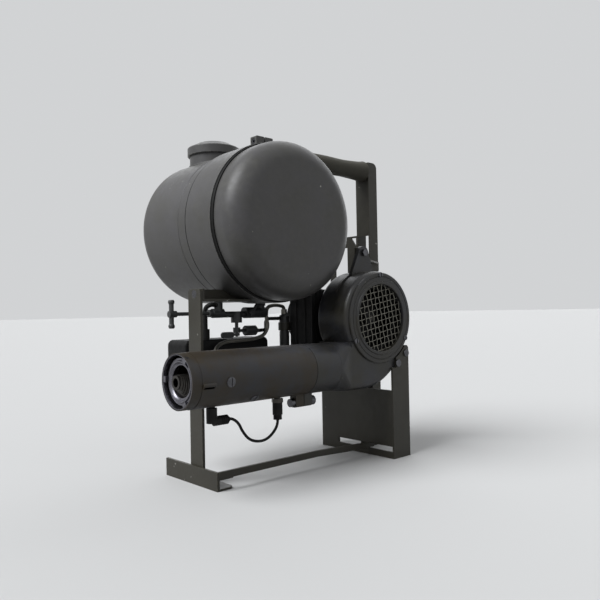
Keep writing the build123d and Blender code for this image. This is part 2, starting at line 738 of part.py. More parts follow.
def duct_section(share, inset):
    """Outline of the duct between the round neck (share 0) and the drum's flat sides (share 1)."""
    ease = share * share * (3 - 2 * share)
    low = BLOWER_Z - DRUM_R - SCROLL_SHIFT
    roof = BURNER_Z + BURNER_R
    round_r = BURNER_R - inset
    y = BURNER_Y + ease * (SPLIT_Y - BURNER_Y)
    z = BURNER_Z + ease * ((low + roof) / 2 - BURNER_Z)
    width = 2 * BURNER_R + ease * (HOUSING_DEPTH - 2 * BURNER_R) - 2 * inset
    height = 2 * BURNER_R + ease * (roof - low - 2 * BURNER_R) - 2 * inset
    corner = round_r - 0.5 + ease * (HOUSING_ROUND - inset - round_r + 0.5)
    corner = min(corner, width / 2 - 0.5, height / 2 - 0.5)
    plane = Plane(origin=(SEAM_X + share * LOFT_L, y, z), x_dir=(0, 1, 0), z_dir=(1, 0, 0))
    return plane * RectangleRounded(width, height, corner)


def housing_body(inset):
    radius = HOUSING_ROUND - inset
    scroll = prism_xz(scroll_outline(inset), HOUSING_FRONT + inset, HOUSING_REAR - inset)
    off_mouth = [e for e in scroll.edges() if abs(e.center().X - loft_end()) > 0.5]
    rims = [e for e in off_mouth if abs(e.center().Y - SPLIT_Y) > 5]
    scroll = fillet(rims, radius)
    duct = loft([duct_section(step / DUCT_STEPS, inset) for step in range(DUCT_STEPS + 1)], ruled=True)
    return scroll + duct


def housing_bead(y0, y1):
    outer = prism_xz(offset(scroll_outline(0), BEAD), y0, y1)
    inner = prism_xz(scroll_outline(HOUSING_WALL / 2), y0 - 1, y1 + 1)
    return (outer - inner) & block(loft_end() + 2, BLOWER_X + 2 * DRUM_R, y0, y1, 0, TANK_Z)


def top_ear(y0, y1):
    ex, ez = BLOWER_X + EAR_X, BLOWER_Z + EAR_Z
    foot = BLOWER_Z + DRUM_R - 6
    edges = (Pos(ex, ez) * Circle(EAR_R)).edges() + (Pos(ex - 2, foot) * Rectangle(50, 2)).edges()
    ear = make_hull(edges)
    return prism_xz(ear, y0, y1) - rod_y(y0 - 1, y1 + 1, ex, ez, BOLT_R + GAP)


def housing_shell():
    hollow = housing_body(HOUSING_WALL)
    hollow += rod_x(SEAM_X - 3, SEAM_X + 0.5, BURNER_Y, BURNER_Z, BURNER_R - HOUSING_WALL)
    return housing_body(0) - hollow


def blower_front(shell):
    y0 = HOUSING_FRONT - 1
    half = shell & block(0, 2 * REAR_POST_X, y0 - 9, SPLIT_Y, 0, TANK_Z)
    for x, z in stand_bolt_spots():
        half += rod_y(HOUSING_FRONT, HOUSING_FRONT + 14, x, z, 8) - housing_body(HOUSING_WALL / 2)
    half += housing_bead(SPLIT_Y - BEAD, SPLIT_Y)
    half += top_ear(SPLIT_Y - EAR_T, SPLIT_Y) - housing_body(HOUSING_WALL / 2)
    half -= rod_y(y0, SPLIT_Y, BLOWER_X, BLOWER_Z, INTAKE_R)
    half -= rod_y(y0, HOUSING_FRONT + GRILLE_T + GAP, BLOWER_X, BLOWER_Z, GRILLE_R + GAP)
    for x, z in stand_bolt_spots():
        half -= rod_y(y0, HOUSING_FRONT + 8, x, z, BOLT_R + GAP)
    for x, z in ring_screw_spots():
        half -= rod_y(y0, HOUSING_FRONT + 8, x, z, SCREW_R + GAP)
    return half


def blower_rear(shell):
    y1 = HOUSING_REAR + 1
    half = shell & block(0, 2 * REAR_POST_X, SPLIT_Y, y1, 0, TANK_Z)
    half += housing_bead(SPLIT_Y, SPLIT_Y + BEAD)
    return half - rod_y(SPLIT_Y, y1, BLOWER_X, BLOWER_Z, BEARING_R + 5)


def outlet_neck():
    neck = rod_x(NECK_X, SEAM_X, BURNER_Y, BURNER_Z, BURNER_R) \
        - rod_x(NECK_X - 1, SEAM_X + 1, BURNER_Y, BURNER_Z, BURNER_R - HOUSING_WALL)
    return neck + latch_lug(NECK_X, NECK_X + LUG_L)


def latch_z():
    return BURNER_Z - BURNER_R - LUG_DROP + 6.5


def latch_lug(x0, x1):
    low = BURNER_Z - BURNER_R - LUG_DROP
    lug = block(x0, x1, BURNER_Y - LUG_W / 2, BURNER_Y + LUG_W / 2, low, BURNER_Z - BURNER_R + 2)
    lug = fillet(lug.edges().filter_by(Axis.X).group_by(Axis.Z)[0], 3)
    lug -= rod_x(x0 - 1, x1 + 1, BURNER_Y, BURNER_Z, BURNER_R - BURNER_WALL / 2)
    return lug - rod_x(x0 - 1, x1 + 1, BURNER_Y, latch_z(), LATCH_R + GAP)


def latch_bolt():
    left, right = JOINT_X - LUG_L, NECK_X + LUG_L
    bolt = rod_x(left - 6, left, BURNER_Y, latch_z(), 5.5)
    bolt += rod_x(left, right + 9, BURNER_Y, latch_z(), LATCH_R)
    knob = rod_x(right, right + 7, BURNER_Y, latch_z(), 6.5)
    for n in range(12):
        knob -= Pos(0, BURNER_Y, latch_z()) * Rot(30 * n, 0, 0) * rod_x(right - 1, right + 8, 0, 7.0, 1.0)
    return bolt + knob


def joint_gasket():
    return rod_x(JOINT_X, NECK_X, BURNER_Y, BURNER_Z, BURNER_R - 0.3) \
        - rod_x(JOINT_X - 1, NECK_X + 1, BURNER_Y, BURNER_Z, BURNER_R - HOUSING_WALL)


def intake_ring():
    face = HOUSING_FRONT
    r0 = INTAKE_R + 1.5
    outline = polygon((r0, face), (RING_R, face), (RING_R, face - RING_T + 1),
                      (RING_R - 1, face - RING_T),
                      (RING_R - 5, face - RING_T), (RING_R - 5.6, face - RING_T + 0.8),
                      (RING_R - 6.4, face - RING_T + 0.8),
                      (RING_R - 7, face - RING_T), (r0 + RING_RIM_W + 1, face - RING_T),
                      (r0 + RING_RIM_W, face - RING_T - RING_RIM), (r0 + 0.8, face - RING_T - RING_RIM),
                      (r0, face - RING_T - RING_RIM + 0.8))
    ring = turned_y(outline, BLOWER_X, BLOWER_Z)
    for x, z in ring_screw_spots():
        ring -= rod_y(face - 10, face + 1, x, z, SCREW_R + GAP)
    return ring


def ring_screw_spots():
    r = RING_SCREW_PCD / 2
    return [(BLOWER_X + r * cos(radians(a)), BLOWER_Z + r * sin(radians(a))) for a in (90, 210, 330)]


def pan_screw(length, head=SCREW_HEAD_R, height=SCREW_HEAD_H):
    """Pan-head screw along +Z, its head standing on z = 0."""
    crown = turned_z([(0, -0.6), (head, -0.6), (head, 0.5 * height), (0.75 * head, height), (0, height)], 0, 0)
    screw = crown - block(-1, 1, -6, 6, height - 0.8, height + 1)
    return screw - rod_z(-1, 0, 0, 0, 2 * head) + rod_z(-length, 0, 0, 0, SCREW_R)


def pan_screws():
    screws = []
    for x, z in ring_screw_spots():
        screws.append(Pos(x, HOUSING_FRONT - RING_T, z) * Rot(90, 0, 0)
                      * pan_screw(RING_T + HOUSING_WALL + 2))
    for x, z in lid_screw_spots():
        screws.append(Pos(x, BOX_Y + BOX_DEPTH + LID_T, z) * Rot(-90, 0, 0) * pan_screw(LID_T + 1.6))
    for x, angle in casing_screw_spots():
        place = Pos(x, BURNER_Y, BURNER_Z) * Rot(angle - 90, 0, 0) * Pos(0, 0, BURNER_R)
        head = rod_z(-1, 0, 0, 0, CASING_HEAD_R) - rod_z(-2, 1, 0, 0, SCREW_R - 0.5)
        head = place * head - rod_x(NOZZLE_X, JOINT_X, BURNER_Y, BURNER_Z, BURNER_R)
        screws.append(place * pan_screw(BURNER_WALL + 2.4, CASING_HEAD_R, CASING_HEAD_H) + head)
    for x, angle in nozzle_screw_spots():
        screws.append(radial(x, angle, DISH_R + 0.5, SPIGOT_R - 0.2, SCREW_R))
    return Compound(children=screws)


def intake_grille():
    disc = Circle(GRILLE_R)
    hole = GRILLE_PITCH - GRILLE_WIRE
    reach = int(GRILLE_R / GRILLE_PITCH) + 1
    cells = []
    for i in range(-reach, reach + 1):
        for j in range(-reach, reach + 1):
            x, y = (i + 0.5) * GRILLE_PITCH, (j + 0.5) * GRILLE_PITCH
            if hypot(x, y) < GRILLE_R - 0.55 * GRILLE_PITCH:
                cells.append(Pos(x, y) * Rectangle(hole, hole))
    net = disc - cells
    return prism_xz(Pos(BLOWER_X, BLOWER_Z) * Rot(0, 0, GRILLE_TILT) * net, HOUSING_FRONT,
                    HOUSING_FRONT + GRILLE_T)


# ---- blower inside ----
def impeller():
    back = SPLIT_Y + IMPELLER_WIDTH / 2 - 4
    front = back - IMPELLER_WIDTH
    wheel = rod_y(back - IMPELLER_PLATE, back, BLOWER_X, BLOWER_Z, IMPELLER_R)
    rim = rod_y(front, front + IMPELLER_PLATE, BLOWER_X, BLOWER_Z, IMPELLER_R)
    wheel += rim - rod_y(front - 1, front + IMPELLER_PLATE + 1, BLOWER_X, BLOWER_Z, IMPELLER_R - 7)
    blade = Pos(IMPELLER_R - 3.8, (front + back) / 2, 0) * Rot(0, 28, 0) * Box(6, IMPELLER_WIDTH - 1, 1.0)
    for n in range(BLADES):
        wheel += Pos(BLOWER_X, 0, BLOWER_Z) * Rot(0, 360 * n / BLADES, 0) * blade
    wheel += rod_y(front + 8, back, BLOWER_X, BLOWER_Z, SHAFT_R + 5)
    return wheel - rod_y(front, back + 1, BLOWER_X, BLOWER_Z, SHAFT_R + 0.02)


def motor_rotor():
    y0, y1 = HOUSING_REAR + 18, MOTOR_REAR - 16
    rotor = rod_y(y0, y1, BLOWER_X, BLOWER_Z, ROTOR_R)
    return rotor + rod_y(SPLIT_Y - IMPELLER_WIDTH / 2 + 2, MOTOR_REAR + 2, BLOWER_X, BLOWER_Z, SHAFT_R)


def motor_case():
    y0, y1 = HOUSING_REAR, MOTOR_REAR
    case = rod_y(y0, y1, BLOWER_X, BLOWER_Z, MOTOR_R)
    case -= rod_y(y0 + MOTOR_WALL + BEARING_W, y1 + 1, BLOWER_X, BLOWER_Z, ROTOR_R + 1.5)
    case -= rod_y(y0 + 1.5, y1, BLOWER_X, BLOWER_Z, BEARING_R + GAP / 2)
    case -= rod_y(y0 - 1, y0 + 2, BLOWER_X, BLOWER_Z, SHAFT_R + 2)
    slots = 10
    for n in range(slots):
        cut = Pos(MOTOR_R, y1 - 24, 0) * Box(9, 20, 5)
        case -= Pos(BLOWER_X, 0, BLOWER_Z) * Rot(0, 360 * (n + 0.5) / slots, 0) * cut
    return case + terminal_box()


def terminal_box():
    """Hollow box on the motor for brushes and terminals, with a ribbed lid and a cable hole below."""
    x0, y0 = BLOWER_X - TERMINAL_REACH, HOUSING_REAR + TERMINAL_SET
    y1 = y0 + TERMINAL_W
    low, high = BLOWER_Z - TERMINAL_RISE, BLOWER_Z + TERMINAL_RISE
    wall = TERMINAL_WALL
    lid = x0 + TERMINAL_LID
    box = block(x0, BLOWER_X, y0, y1, low, high)
    box = fillet(box.faces().sort_by(Axis.X)[0].edges(), 2)
    box -= block(lid, lid + 1, y0 - 1, y1 + 1, low - 1, high + 1) \
        - block(lid, lid + 1, y0 + 0.8, y1 - 0.8, low + 0.8, high - 0.8)
    for share in (0.3, 0.7):
        y = y0 + share * TERMINAL_W
        box += block(x0 - 1.2, x0 + 1, y - 2, y + 2, low + 5, high - 5)
    box -= block(x0 + wall, BLOWER_X - 10, y0 + wall, y1 - wall, low + wall, high - wall)
    box -= rod_z(low - 1, low + wall + 1, lid + 8, (y0 + y1) / 2, 4.5)
    return box - rod_y(y0 - 1, y1 + 1, BLOWER_X, BLOWER_Z, MOTOR_R - 1)


def motor_cap():
    y0 = MOTOR_REAR
    outline = polygon((0, y0), (MOTOR_R, y0), (MOTOR_R, y0 + MOTOR_CAP - 5),
                      (MOTOR_R - 5, y0 + MOTOR_CAP),
                      (0, y0 + MOTOR_CAP))
    cap = turned_y(outline, BLOWER_X, BLOWER_Z)
    cap += rod_y(y0 - BEARING_W, y0 + 1, BLOWER_X, BLOWER_Z, ROTOR_R + 1.4)
    cap -= rod_y(y0 - BEARING_W - 1, y0, BLOWER_X, BLOWER_Z, BEARING_R + GAP / 2)
    return cap - rod_y(y0 - 1, y0 + 4, BLOWER_X, BLOWER_Z, SHAFT_R + 2)


def motor_bearings():
    bearings = []
    for y0 in (HOUSING_REAR + 1.5, MOTOR_REAR - BEARING_W):
        ring = rod_y(y0, y0 + BEARING_W, BLOWER_X, BLOWER_Z, BEARING_R)
        bearings.append(ring - rod_y(y0 - 1, y0 + BEARING_W + 1, BLOWER_X, BLOWER_Z, SHAFT_R + RUN))
    return Compound(children=bearings)


# ---- brackets behind the tank ----
def motor_band():
    y0, y1 = BAND_Y, BAND_Y + BAND_W
    ring = rod_y(y0, y1, BLOWER_X, BLOWER_Z, MOTOR_R + GAP + BAND_T)
    arm = block(BLOWER_X + MOTOR_R - 5, REAR_POST_X, y0, y1, BLOWER_Z - 7, BLOWER_Z + 7)
    pad = block(REAR_POST_X - 3, REAR_POST_X, y0 - 4, y1 + 4, PLATE_LOW + 2, BLOWER_Z + 17)
    clip_z = (CLIP_Z - 6, CLIP_Z + 6)
    clip = block(PUMP_X, BLOWER_X - MOTOR_R + 5, VALVE_Y - 2, VALVE_Y + 2, *clip_z)
    clip += rod_z(*clip_z, PUMP_X, VALVE_Y, PUMP_R + GAP + 1.5)
    band = ring + arm + pad + clip
    band -= rod_y(y0 - 9, y1 + 9, BLOWER_X, BLOWER_Z, MOTOR_R + GAP)
    return band - rod_z(CLIP_Z - 9, CLIP_Z + 9, PUMP_X, VALVE_Y, PUMP_R + GAP)


def stay_bracket():
    ex, ez = BLOWER_X + EAR_X, BLOWER_Z + EAR_Z
    y0 = SPLIT_Y
    side = FRAME_Y - BAR_W / 2
    tab = block(ex - 10, ex + 10, y0, y0 + 3, STAY_Z, ez + 8)
    tab -= rod_y(y0 - 1, y0 + 4, ex, ez, BOLT_R + GAP)
    back = REAR_POST_X + REAR_POST_DEPTH - 2
    shelf = prism_xy(polygon((ex - 10, y0), (ex + 10, y0), (back, side - 3), (back, side),
                             (REAR_POST_X - 2, side)),
                     STAY_Z - 3, STAY_Z)
    foot = block(REAR_POST_X - 2, back, side - 3, side, STAY_Z - 14, STAY_Z)
    return tab + shelf + foot


def ear_bolt():
    ex, ez = BLOWER_X + EAR_X, BLOWER_Z + EAR_Z
    y0, y1 = SPLIT_Y - EAR_T, SPLIT_Y + 3
    bolt = hex_y(y0 - HEAD_H, y0, ex, ez, HEAD_R) + rod_y(y0, y1, ex, ez, BOLT_R)
    return bolt + hex_y(y1, y1 + HEAD_H, ex, ez, HEAD_R)


# ---- burner ----
def burner_casing():
    casing = rod_x(NOZZLE_X + SPIGOT_L, JOINT_X, BURNER_Y, BURNER_Z, BURNER_R)
    casing += rod_x(NOZZLE_X, NOZZLE_X + SPIGOT_L, BURNER_Y, BURNER_Z, SPIGOT_R)
    lip = rod_x(NOZZLE_X + SPIGOT_L + 0.5, NOZZLE_X + SPIGOT_L + 18, BURNER_Y - BURNER_R + 1.2,
                BURNER_Z - 3.6, 3.0)
    casing += lip + latch_lug(JOINT_X - LUG_L, JOINT_X)
    casing -= rod_x(NOZZLE_X - 1, JOINT_X + 1, BURNER_Y, BURNER_Z, CASING_IN)
    casing -= block(NOZZLE_X + 15, NOZZLE_X + 29.5, BURNER_Y - BURNER_R - 4, BURNER_Y - BURNER_R + 8,
                    BURNER_Z - 7.8, BURNER_Z - 5.4)
    for x in (SENSOR_X, IGNITER_X):
        casing -= rod_z(BURNER_Z - BURNER_R - 5, BURNER_Z - BURNER_R + 5, x, BURNER_Y, 4 + GAP)
    casing -= rod_y(BURNER_Y, BURNER_Y + BURNER_R + 5, FUEL_X, BURNER_Z, 3 + GAP)
    for x, angle in casing_screw_spots() + nozzle_screw_spots():
        casing -= radial(x, angle, CASING_IN - 3, BURNER_R + 3, SCREW_R + GAP)
    return casing


def radial(x, angle, r0, r1, r):
    """Round bar standing out from the burner's axis; angle 0 is +Y, 90 is up."""
    outward = Pos(x, BURNER_Y, BURNER_Z) * Rot(angle - 90, 0, 0)
    return outward * Pos(0, 0, (r0 + r1) / 2) * Cylinder(r, r1 - r0)


def casing_screw_spots():
    return [(NOZZLE_X + 52, 184), (NOZZLE_X + 96, 234)]


def nozzle_screw_spots():
    return [(NOZZLE_X + NOZZLE_SCREW_IN, angle) for angle in (3, 121, 241)]


def nozzle_ring():
    x0, x1 = NOZZLE_X, NOZZLE_X + NOZZLE_RING_L
    outer = CASING_IN - GAP / 2
    inner = outer - NOZZLE_RING_T
    outline = polygon((x0 + 0.8, inner), (x0 + 0.2, inner + 0.4), (x0 + 0.2, outer - 0.4),
                      (x0 + 0.8, outer), (x1, outer), (x1, inner))
    ring = turned_x(outline, BURNER_Y, BURNER_Z)
    for x, angle in nozzle_screw_spots():
        ring -= radial(x, angle, inner - 3, BURNER_R, SCREW_R + GAP)
    return ring


def dish_x():
    return NOZZLE_X + 3.5


def outlet_dish():
    """Pressed ring with a raised bead and a turned-in edge, on three lugs for the nozzle screws."""
    x0 = dish_x()
    x1 = x0 + DISH_DEPTH
    flat, bead, hole = x0 + 1.5, DISH_BEAD_R, DISH_HOLE_R
    outline = polygon((flat, DISH_R), (flat, bead + 1.6), (x0, bead + 0.7), (x0, bead - 0.7),
                      (flat, bead - 1.6), (x1 - 2.2, hole + 1.4), (x1 - 2.2, hole), (x1 + 3, hole),
                      (x1 + 3, hole + DISH_T), (x1 - 0.8, hole + DISH_T + 0.4), (flat + DISH_T, bead - 1.2),
                      (flat + DISH_T, DISH_R))
    dish = turned_x(outline, BURNER_Y, BURNER_Z)
    reach = CASING_IN - NOZZLE_RING_T - GAP
    for x, angle in nozzle_screw_spots():
        lug = block(-3, 3, -DISH_LUG_W / 2, DISH_LUG_W / 2, DISH_R - 1, reach + 1)
        lug = Pos(x, BURNER_Y, BURNER_Z) * Rot(angle - 90, 0, 0) * lug
        dish += lug & rod_x(x - 4, x + 4, BURNER_Y, BURNER_Z, reach)
    for x, angle in nozzle_screw_spots():
        dish -= radial(x, angle, DISH_R, BURNER_R, SCREW_R + GAP)
    return dish


def cone_place(share):
    """Centre of the cone that joins the spout to the lower chamber, at a share of its length."""
    return (NOZZLE_X + SPOUT_L + share * SPOUT_CONE, BURNER_Y + (1 - share) * SPOUT_SIDE,
            BURNER_Z - SPOUT_DROP - share * (CHAMBER_DROP - SPOUT_DROP))


def cone_circle(share, radius):
    return Plane(origin=cone_place(share), x_dir=(0, 1, 0), z_dir=(1, 0, 0)) * Circle(radius)


def cone_rib(share):
    x, y, z = cone_place(share)
    radius = SPOUT_R + share * (CHAMBER_R - SPOUT_R) + 0.55
    return rod_x(x - 0.45, x + 0.45, y, z, radius)


def combustion_chamber():
    tip, x0, x1 = NOZZLE_X, CHAMBER_X, CHAMBER_END
    start, y, z = cone_place(0)
    chamber = rod_x(tip, start, y, z, SPOUT_R)
    chamber += loft([cone_circle(0, SPOUT_R), cone_circle(1, CHAMBER_R)])
    chamber += rod_x(x0, x1, BURNER_Y, CHAMBER_Z, CHAMBER_R)
    for n in range(1, CONE_RIBS + 1):
        chamber += cone_rib(n / (CONE_RIBS + 1))
    inner = CHAMBER_R - CHAMBER_T
    chamber -= rod_x(tip - 1, start, y, z, SPOUT_R - SPOUT_WALL)
    chamber -= loft([cone_circle(0, SPOUT_R - SPOUT_WALL), cone_circle(1, inner)])
    chamber -= rod_x(x0, x1 + 1, BURNER_Y, CHAMBER_Z, inner)
    for x in (SENSOR_X, IGNITER_X):
        chamber -= rod_z(CHAMBER_Z - CHAMBER_R - 3, CHAMBER_Z, x, BURNER_Y, 3 + MOVE)
    chamber -= rod_y(BURNER_Y, BURNER_Y + CHAMBER_R + 3, FUEL_X, BURNER_Z, 2.5 + MOVE)
    for n in range(6):
        for x in (CHAMBER_X + 26, CHAMBER_X + 56):
            hole = Rot(60 * n + 30, 0, 0) * Pos(0, 0, CHAMBER_R) * Cylinder(2.5, 8)
            chamber -= Pos(x, BURNER_Y, CHAMBER_Z) * hole
    return chamber


def air_diffuser():
    x0 = CHAMBER_END - 6
    disc = rod_x(x0, x0 + 2, BURNER_Y, BURNER_Z, CASING_IN - GAP)
    disc -= rod_x(x0 - 1, x0 + 3, BURNER_Y, CHAMBER_Z, CHAMBER_R + GAP)
    for n in range(10):
        r = (CASING_IN + CHAMBER_R + CHAMBER_DROP) / 2
        hole = Rot(36 * n, 0, 0) * rod_x(x0 - 1, x0 + 3, 0, r + 0.6, 3.2)
        disc -= Pos(0, BURNER_Y, BURNER_Z) * hole
    return disc


def burner_head():
    x0 = CHAMBER_END - HEAD_L
    head = rod_x(x0, CHAMBER_END, BURNER_Y, CHAMBER_Z, CHAMBER_R - CHAMBER_T - GAP)
    for n in range(8):
        vane = Rot(45 * n, 0, 0) * rod_x(x0 - 1, CHAMBER_END + 1, 0, 0.6 * CHAMBER_R, 2.0)
        head -= Pos(0, BURNER_Y, CHAMBER_Z) * vane
    return head


def fuel_inlet():
    y0, y1 = BURNER_Y - 2, BURNER_Y + BURNER_R + 12
    inlet = rod_y(y0, y1, FUEL_X, BURNER_Z, 2.5)
    inlet += rod_y(BURNER_Y + BURNER_R - 1, y1 - 5, FUEL_X, BURNER_Z, 3)
    inlet += hex_y(BURNER_Y + BURNER_R + 0.3, BURNER_Y + BURNER_R + 6, FUEL_X, BURNER_Z, 6)
    return inlet + hex_y(y1 - 5, y1, FUEL_X, BURNER_Z, 5)


# ---- igniter, sensor and lead ----
def sensor_elbow():
    top = BURNER_Z - BURNER_R
    x0, x1 = SENSOR_X + 9, LEAD_ROUTE[0][0]
    z = LEAD_ROUTE[0][1]
    elbow = rod_z(z, CHAMBER_Z - CHAMBER_R + 4, SENSOR_X, BURNER_Y, 3)
    elbow += rod_z(z, top + 1.2, SENSOR_X, BURNER_Y, 4)
    elbow += rod_z(z - 2.0, top - 1.5, SENSOR_X, BURNER_Y, CONNECTOR_R)
    elbow += rod_x(SENSOR_X + 2.5, x1 - 3, BURNER_Y, z, CONNECTOR_R - 0.7)
    elbow += rod_x(x1 - 3, x1, BURNER_Y, z, 3.2)
    for n in range(4):
        x = x0 + 2 + 3 * n
        elbow -= rod_x(x, x + 1.2, BURNER_Y, z, 9) - rod_x(x, x + 1.2, BURNER_Y, z, CONNECTOR_R - 1.5)
    return elbow


def igniter_plug():
    top = BURNER_Z - BURNER_R
    plug = rod_z(top - 6, CHAMBER_Z - 2, IGNITER_X, BURNER_Y, 3) + rod_z(top - 6, top + 1.2, IGNITER_X,
                                                                         BURNER_Y, 4)
    return plug + prism_xy(Pos(IGNITER_X, BURNER_Y) * RegularPolygon(8, 6), top - 6, top - 1)


def igniter_connector():
    top, low = BURNER_Z - BURNER_R - 6, LEAD_ROUTE[-1][1]
    body = rod_z(low + 6, top, IGNITER_X, BURNER_Y, CONNECTOR_R) + rod_z(low, low + 6, IGNITER_X,
                                                                         BURNER_Y, CONNECTOR_R - 0.8)
    for n in range(3):
        z = low + 1.2 + 1.8 * n
        body -= rod_z(z, z + 0.8, IGNITER_X, BURNER_Y, 9) - rod_z(z, z + 0.8, IGNITER_X, BURNER_Y,
                                                                  CONNECTOR_R - 1.8)
    return body


def igniter_lead():
    route = [(x, BURNER_Y, z) for x, z in LEAD_ROUTE]
    bends = largest_bends(route)
    tube = swept(route, LEAD_D / 2, bends)
    length = tube.volume / (pi * (LEAD_D / 2) ** 2)
    print("lead bends", [round(b, 1) for b in bends], "length from volume", round(length, 1))
    return tube


# ---- control box ----
def box_corner_post(x, z):
    reach = 7.0
    return block(x - reach, x + reach, BOX_Y + 10, BOX_Y + BOX_DEPTH, z - reach, z + reach)


def control_box():
    y0, y1 = BOX_Y, BOX_Y + BOX_DEPTH
    case = block(BOX_X, BOX_X + BOX_LENGTH, y0, y1, BOX_Z, BOX_TOP)
    case = fillet(case.edges().filter_by(Axis.Y), BOX_ROUND)
    case = fillet(case.faces().sort_by(Axis.Y)[0].edges(), BOX_ROUND / 3)
    hollow = block(BOX_X + BOX_WALL, BOX_X + BOX_LENGTH - BOX_WALL, y0 + BOX_WALL, y1 + 1, BOX_Z
                   + BOX_WALL, BOX_TOP - BOX_WALL)
    hollow = fillet(hollow.edges().filter_by(Axis.Y), BOX_ROUND - BOX_WALL)
    shell = case - hollow
    for x, z in lid_screw_spots():
        shell += box_corner_post(x, z) & hollow
        shell -= rod_y(y1 - 4, y1 + 1, x, z, SCREW_R + GAP)
    return shell - rod_z(BOX_TOP - 4, BOX_TOP + 1, *SENDER_ROUTE[-1][:2], 4)


def box_lid():
    y1 = BOX_Y + BOX_DEPTH
    lid = block(BOX_X, BOX_X + BOX_LENGTH, y1, y1 + LID_T, BOX_Z, BOX_TOP)
    lid = fillet(lid.edges().filter_by(Axis.Y), BOX_ROUND)
    lid -= rod_y(y1 - 1, y1 + LID_T + 1, SWITCH_X, SWITCH_Z, 6 + GAP)
    lid -= rod_y(y1 - 1, y1 + LID_T + 1, INLET_X, INLET_Z, INLET_R + GAP)
    for x, z in lid_screw_spots():
        lid -= rod_y(y1 - 1, y1 + LID_T + 1, x, z, SCREW_R + GAP)
    return lid


def lid_screw_spots():
    inset = 7.0
    xs = (BOX_X + inset, BOX_X + BOX_LENGTH - inset)
    return [(x, z) for x in xs for z in (BOX_Z + inset, BOX_TOP - inset)]


def circuit_board():
    y = BOX_Y + BOX_WALL + BOARD_STUD
    x0, x1 = BOX_X + BOARD_IN, BOX_END - BOARD_IN
    z0, z1 = BOX_Z + 0.8 * BOARD_IN, BOX_TOP - 0.8 * BOARD_IN
    board = block(x0, x1, y, y + BOARD_T, z0, z1)
    for x in (x0 + 7, x1 - 7):
        for z in (z0 + 7, z1 - 7):
            board += rod_y(BOX_Y + BOX_WALL, y, x, z, 3)
    board += block(x0 + 25, x0 + 55, y + BOARD_T, y + 12, z0 + 13, z0 + 43)
    return board + rod_y(y + BOARD_T, y + 16, x1 - 30, z0 + 28, COIL_R)


def switch_body():
    face = BOX_Y + BOX_DEPTH + LID_T
    body = rod_y(face - 6, face + 3, SWITCH_X, SWITCH_Z, 6)
    body += block(SWITCH_X - 7, SWITCH_X + 7, face - 18, face - 6, SWITCH_Z - 9, SWITCH_Z + 9)
    body += hex_y(face, face + 2.2, SWITCH_X, SWITCH_Z, 8.5)
    return body - block(SWITCH_X - 2.2, SWITCH_X + 2.2, face - 3, face + 4, SWITCH_Z - 4.8, SWITCH_Z
                        + 4.8)


def switch_toggle():
    face = BOX_Y + BOX_DEPTH + LID_T
    lever = rod_y(face - 1, face + 16, SWITCH_X, SWITCH_Z, 1.5) + Pos(SWITCH_X, face + 16,
                                                                      SWITCH_Z) * Sphere(2.6)
    return lever + rod_x(SWITCH_X - 2.0, SWITCH_X + 2.0, face - 0.5, SWITCH_Z, 1.9)


def power_inlet():
    face = BOX_Y + BOX_DEPTH + LID_T
    inlet = rod_y(face - 10, face + 9, INLET_X, INLET_Z, INLET_R)
    inlet += rod_y(face, face + 2.5, INLET_X, INLET_Z, INLET_R + 4)
    return inlet - rod_y(face - 2, face + 10, INLET_X, INLET_Z, INLET_R - 2.5)


def box_bracket():
    x0 = POST_X + BAR_T
    z0, z1 = BOX_Z + 20, BOX_Z + 60
    arm = block(x0, x0 + 3, FRAME_Y - BAR_W / 2 + 2, BOX_Y, z0, z1)
    return arm + block(x0, x0 + 34, BOX_Y - 3, BOX_Y, z0, z1)


# ---- fuel line ----
def riser(x):
    stem = rod_z(MANIFOLD_Z, boss_face(x), x, VALVE_Y, RISER_R - 1.3)
    stem += prism_xy(Pos(x, VALVE_Y) * RegularPolygon(RISER_R + 0.6, 6), boss_face(x) - 5, boss_face(x))
    return stem


def valve_left():
    return FRONT_RISER_X - VALVE_L / 2 - 2


def fuel_manifold():
    left = valve_left()
    front_end = left + VALVE_L
    rear_end = REAR_RISER_X + RISER_R
    rear_start = rear_end - FILTER_VALVE_L
    bar = rod_x(left, front_end, VALVE_Y, MANIFOLD_Z, VALVE_R) + hex_x(left - 6, left, VALVE_Y,
                                                                       MANIFOLD_Z, VALVE_R - 0.5)
    bar += rod_x(front_end, rear_start, VALVE_Y, MANIFOLD_Z - 2, LINK_R)
    bar += rod_x(rear_start, rear_end, VALVE_Y, MANIFOLD_Z, FILTER_VALVE_R)
    bar += rod_z(MANIFOLD_Z - 14, MANIFOLD_Z + 2, DROP_BOSS_X, VALVE_Y, DROP_BOSS_R)
    bar += riser(FRONT_RISER_X) + riser(REAR_RISER_X) + drain_cock()
    bar -= rod_x(left - 7, left + 11, VALVE_Y, MANIFOLD_Z, TEE_ROD_R + RUN)
    return bar - rod_y(VALVE_Y - FILTER_VALVE_R - 1, VALVE_Y - 2, selector_x(), MANIFOLD_Z, 2.2 + RUN)


def selector_x():
    return REAR_RISER_X + RISER_R - FILTER_VALVE_L + 7


def valve_tee():
    half = TEE_H / 2
    bar = rod_z(MANIFOLD_Z - half, MANIFOLD_Z + half, TEE_X, VALVE_Y, TEE_R)
    for side in (-1, 1):
        bar += Pos(TEE_X, VALVE_Y, MANIFOLD_Z + side * (half - 3)) * Sphere(TEE_R + 1.1)
    bar += rod_x(TEE_X - 4, TEE_X + 7, VALVE_Y, MANIFOLD_Z, TEE_R + 1.2)
    bar &= block(TEE_X - 20, TEE_X + 20, VALVE_Y - 20, VALVE_Y + 20, MANIFOLD_Z - half, MANIFOLD_Z + half)
    return bar + rod_x(TEE_X, valve_left() + 10, VALVE_Y, MANIFOLD_Z, TEE_ROD_R)


